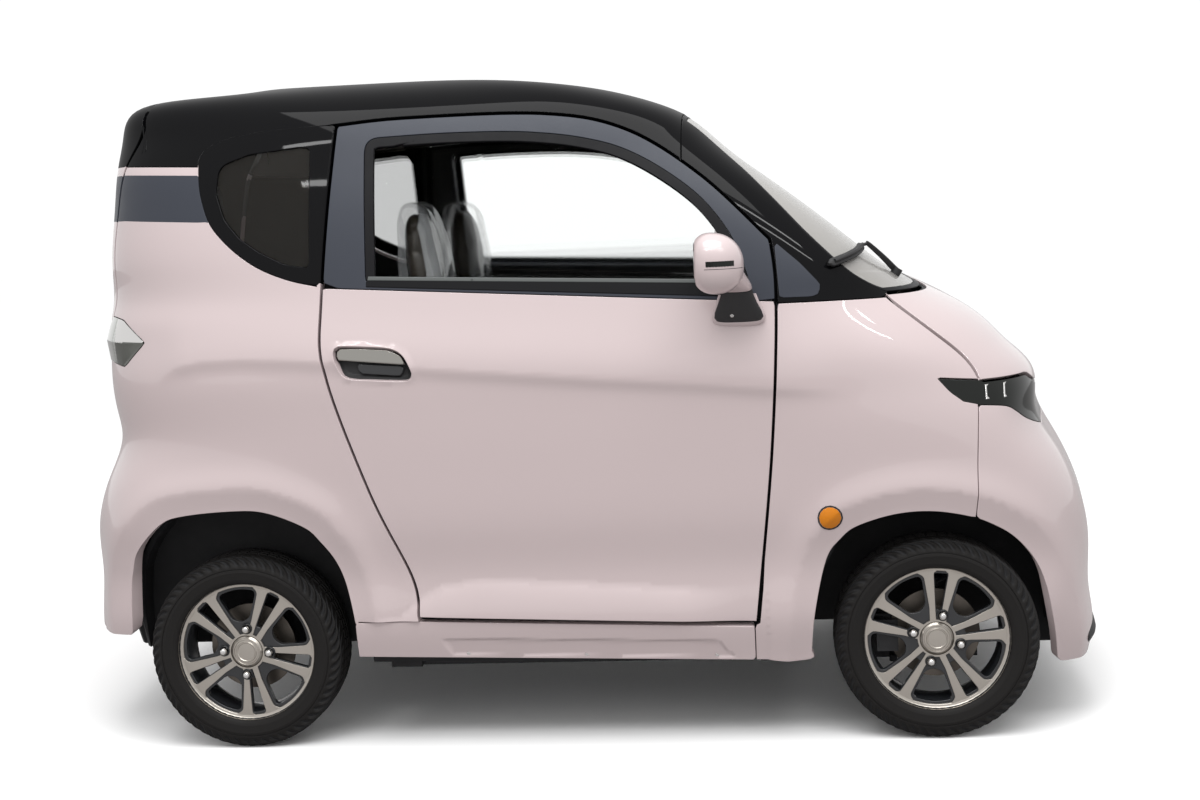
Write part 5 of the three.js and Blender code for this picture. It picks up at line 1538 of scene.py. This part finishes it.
shrink = seatSettings["shrink"]
pads = {
    "seat_back": {"path": [[-318, 455], [-340, 640], [-368, 860], [-402, 1120]], "thick": [62, 64, 56, 42],
                  "wide": [222, 228, 222, 178], "inset": shrink, "shape": (56, 3.2), "fill": 0.75},
    "seat_cushion": {"path": [[-292, 446], [-120, 448], [40, 458], [152, 452]], "thick": [56, 60, 66, 56],
                     "wide": [222, 228, 230, 214], "inset": shrink, "shape": (56, 3.2), "fill": 0.8},
    "headrest": {"path": [[-416, 1140], [-421, 1210], [-430, 1300], [-436, 1352]], "thick": [40, 44, 40, 28],
                 "wide": [132, 128, 114, 84], "inset": shrink * 0.8, "shape": (48, 3.0), "fill": 0.7}}
for stem, p in pads.items():
    cloth, channels = (headCover, None) if stem == "headrest" else (seatCloth, channelsAcross)
    verts, faces = loft(padRows(p["path"], np.array(p["thick"]) - p["inset"], np.array(p["wide"]) - p["inset"]),
                        *p["shape"])
    onSeat = verts - [0, seatSettings["middle"], 0]
    right = stuffed(f"{stem}_right", joinData([(onSeat, faces, 0)], [cloth]), channels=channels)
    left = bpy.data.objects.new(f"{stem}_left", right.data.copy())
    bpy.context.scene.collection.objects.link(left)
    left.data.vertices.foreach_set("co", (perVertex(left.data, "co") * np.float32([1, -1, 1])).ravel())
    left.data.flip_normals()
    left.data.update()
    for made in (right, left):
        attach(made, "body")
        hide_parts("seats")
print("stage: seats")

seatBase = []
for sign in (1, -1):
    y0 = sign * seatSettings["middle"]
    seatBase += [(*sized((-270, 92), (y0 - 192, y0 + 192), (283, 398), 8), 0),
                 (*sized((-362, -330), (y0 - 150, y0 + 150), (470, 1030), 12), 0)]
    seatBase += [(*rodBetween((-390, y, 1090), (-420, y, 1180), 6), 1) for y in (y0 - 55, y0 + 55)]
seatBase.append((*sized((-265, 78), (-120, 120), (283, 420), 18), 0))
seatBase.append((*rodBetween((10, 0, 410), (40, 0, 560), 8), 1))
seatBase.append((*leaned([(40, 0, 555, 16, 16, 0), (42, 0, 570, 24, 22, 0), (44, 0, 590, 24, 22, 0),
                          (45, 0, 600, 12, 11, 0)], 24, 2.4), 0))
single(joinData(seatBase, [cabinTrim, chrome]), "seat_bases", node="seats")


filmSettings = {"half": 150.0, "rows": 110, "cols": 64, "waves": 9, "waveLength": (18, 75), "waveHeight": 0.026,
                "pinch": 30}


def crumpled(a, b, seed, s=filmSettings):
    """Folds of thin stiff film: a few ridged waves, each turned its own way."""
    spread = np.random.default_rng(seed)
    h = np.zeros(np.broadcast(a, b).shape)
    for _ in range(s["waves"]):
        turn, phase, scale = spread.uniform(0, math.pi), spread.uniform(0, 6), spread.uniform(*s["waveLength"])
        wave = (a * math.cos(turn) + b * math.sin(turn)) / scale + phase
        wave = wave + 0.8 * np.sin((a * math.sin(turn) - b * math.cos(turn)) / (scale * 1.7) + phase * 2)
        h += (1 - 2 * np.abs((wave / math.pi) % 1 - 0.5) * 2) * scale * s["waveHeight"]
    return h


def coverData(y0, seed, s=filmSettings):
    """A clear film bag's front and back, laid over a headrest."""
    path = smooth([[-342, 1040], [-358, 1130], [-368, 1230], [-384, 1320], [-404, 1364], [-434, 1378],
                   [-462, 1368], [-476, 1320], [-474, 1240], [-468, 1150], [-462, 1080]], 60)
    length = pathLength(path)
    d = np.linspace(0, length[-1], s["rows"])
    x, z = np.interp(d, length, path[:, 0]), np.interp(d, length, path[:, 1])
    tangent = unit(np.stack([np.gradient(x), np.gradient(z)], 1))
    out = np.stack([-tangent[:, 1], tangent[:, 0]], 1)
    out = np.where((out * np.stack([x + 426, z - 1240], 1)).sum(1, keepdims=True) < 0, -out, out)
    v = np.linspace(-1, 1, s["cols"])
    wide = np.interp(z, [1040, 1200, 1330, 1380], [176, 142, 128, 92])
    a, b = np.meshgrid(v * s["half"], d)
    h = crumpled(a, b, seed)
    pinch = np.clip((np.abs(v) - 0.72) / 0.28, 0, 1) ** 2
    lift = h - s["pinch"] * pinch[None] * np.clip((1380 - z) / 60, 0.3, 1)[:, None]
    y = y0 + v[None] * wide[:, None] + 0.6 * crumpled(b, a, seed + 7)
    return np.stack([x[:, None] + out[:, :1] * lift, y, z[:, None] + out[:, 1:] * lift], -1)


for lateral, sign, seed in (("right", -1, 3), ("left", 1, 11)):
    points = coverData(sign * seatSettings["middle"], seed)
    cover = meshObject(f"headrest_cover_{lateral}", joinData(
        [(points.reshape(-1, 3), gridFaces(*points.shape[:2]), 0)], [clearFilm]))
    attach(cover, "body")

columnTilt = math.radians(25)
steeringCentre = np.array([330.0, 330.0, 900.0])
columnAxes = np.array([[0, 1, 0], [math.sin(columnTilt), 0, math.cos(columnTilt)],
                       [math.cos(columnTilt), 0, -math.sin(columnTilt)]])


def onColumn(piece):
    """A piece drawn round the Z axis, set on the steering column."""
    return piece[0] @ columnAxes + steeringCentre, piece[1]


def torus(radius, tube, around=96, section=20):
    """A ring round the Z axis."""
    a, b = np.meshgrid(np.linspace(0, 2 * math.pi, around, endpoint=False),
                       np.linspace(0, 2 * math.pi, section, endpoint=False), indexing="ij")
    r = radius + tube * np.cos(b)
    verts = np.stack([r * np.cos(a), r * np.sin(a), tube * np.sin(b)], -1).reshape(-1, 3)
    faces = gridFaces(around + 1, section, wrapCols=True) % (around * section)
    return verts, faces


hub = leaned([(0, 0, 18, 44, 44, 0), (0, 0, -6, 52, 52, 0), (0, 0, -14, 50, 50, 0), (0, 0, -19, 38, 38, 0),
              (0, 0, -20, 20, 20, 0)], 40, 3.0)
spokeParts = []
for turn in (0, math.pi, -math.pi / 2):
    c, n = math.cos(turn), math.sin(turn)
    spokeParts.append((*onColumn(loft([
        ((c * r, n * r, 2 - 6 * t), (-n * w, c * w, 0), (0, 0, 6)) for r, w, t in
        ((30, 24, 1), (70, 20, 0.7), (120, 15, 0.3), (172, 13, 0))], 24, 3)), 1))
single(joinData([(*onColumn(torus(175, 13)), 0), (*onColumn(hub), 1)] + spokeParts, [rubberSeal, cabinTrim]),
       "steering_wheel_rim", "steering_wheel", "steering_wheel")

# Plain parts of the frame that show get their finish as they are.
finishes = (
    (linerBlack, "black_plastic", ("floor_pan",)), (cabinTrim, "trim_plastic", ("dashboard",)),
    (castIron, "cast_steel", ("knuckle_left", "knuckle_right", "front_suspension", "steering_rack", "rear_axle",
                              "battery")),
    (paintPink, "paint_pink", ("rear_bumper", "front_bumper")))
for finish, slotName, names in finishes:
    for shown in (nodes[name] for name in names if not nodes[name].hide_render):
        shown.data.materials.clear()
        shown.data.materials.append(finish)
print("stage: cabin")


# Camera, light, floor.
cameraSettings = {"lens": 50.64, "sensor": 36.0, "place": (488.0, -4809.0, 1358.0), "yaw": 5.82, "pitch": 6.66,
                  "roll": -2.62}


def makeCamera(s=cameraSettings):
    """The camera, turned by yaw and pitch and then rolled."""
    yaw, pitch, roll = (math.radians(s[k]) for k in ("yaw", "pitch", "roll"))
    ahead = Vector((-math.sin(yaw) * math.cos(pitch), math.cos(yaw) * math.cos(pitch), -math.sin(pitch)))
    right = Vector((math.cos(yaw), math.sin(yaw), 0))
    up = right.cross(ahead)
    right, up = math.cos(roll) * right + math.sin(roll) * up, -math.sin(roll) * right + math.cos(roll) * up
    camera = bpy.data.objects.new("camera", bpy.data.cameras.new("camera"))
    bpy.context.scene.collection.objects.link(camera)
    camera.data.sensor_width = s["sensor"]
    camera.data.lens = s["lens"]
    camera.data.clip_end = 100
    turn = Matrix((right, up, -ahead)).transposed()
    camera.matrix_world = Matrix.Translation(Vector(placed([s["place"]])[0])) @ turn.to_4x4()
    bpy.context.scene.camera = camera


makeCamera()
world = bpy.data.worlds.new("studio")
bpy.context.scene.world = world
world.use_nodes = True
sky = world.node_tree.nodes["Background"].inputs
sky["Color"].default_value, sky["Strength"].default_value = (1, 1, 1, 1), 1.05
bpy.context.scene.view_settings.view_transform = "Standard"


def areaLight(name, place, target, size, power):
    """A white rectangular light at a place, turned to its target."""
    lamp = bpy.data.lights.new(name, "AREA")
    lamp.shape = "RECTANGLE"
    lamp.size, lamp.size_y = size
    lamp.energy = power
    holder = bpy.data.objects.new(name, lamp)
    bpy.context.scene.collection.objects.link(holder)
    holder.location = place
    holder.rotation_mode = "QUATERNION"
    holder.rotation_quaternion = (Vector(target) - Vector(place)).to_track_quat("-Z", "Y")


lights = {
    "top": {"place": (0.2, -1.6, 4.4), "target": (0, 0, 0.6), "size": (3.6, 2.0), "power": 110},
    "strip_high": {"place": (0.4, -2.9, 3.9), "target": (0, 0, 0.9), "size": (4.8, 0.12), "power": 45},
    "strip_low": {"place": (0.5, -3.3, 3.6), "target": (0, 0, 0.9), "size": (4.8, 0.08), "power": 30}}
for name, light in lights.items():
    areaLight(name, **light)

floorMat = material("floor_pale", (0.95, 0.95, 0.95), 0.95, noise=(2, 0.02))
# The floor is white to the camera and darker to the light it throws back at the car.
tree = floorMat.node_tree
seen = tree.nodes.new("ShaderNodeLightPath")
shade = tree.nodes.new("ShaderNodeMix")
shade.data_type = "RGBA"
shade.inputs["A"].default_value = (0.42, 0.41, 0.41, 1)
shade.inputs["B"].default_value = (0.96, 0.96, 0.96, 1)
tree.links.new(seen.outputs["Is Camera Ray"], shade.inputs["Factor"])
tree.links.new(shade.outputs["Result"], tree.nodes["Principled BSDF"].inputs["Base Color"])
reach = 40.0
floorMesh = bpy.data.meshes.new("floor")
floorMesh.from_pydata([(-reach, -reach, 0), (reach, -reach, 0), (reach, reach, 0), (-reach, reach, 0)], [],
                      [(0, 1, 2, 3)])
floorMesh.materials.append(floorMat)
floor = bpy.data.objects.new("floor", floorMesh)
bpy.context.scene.collection.objects.link(floor)
floor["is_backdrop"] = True
low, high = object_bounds()
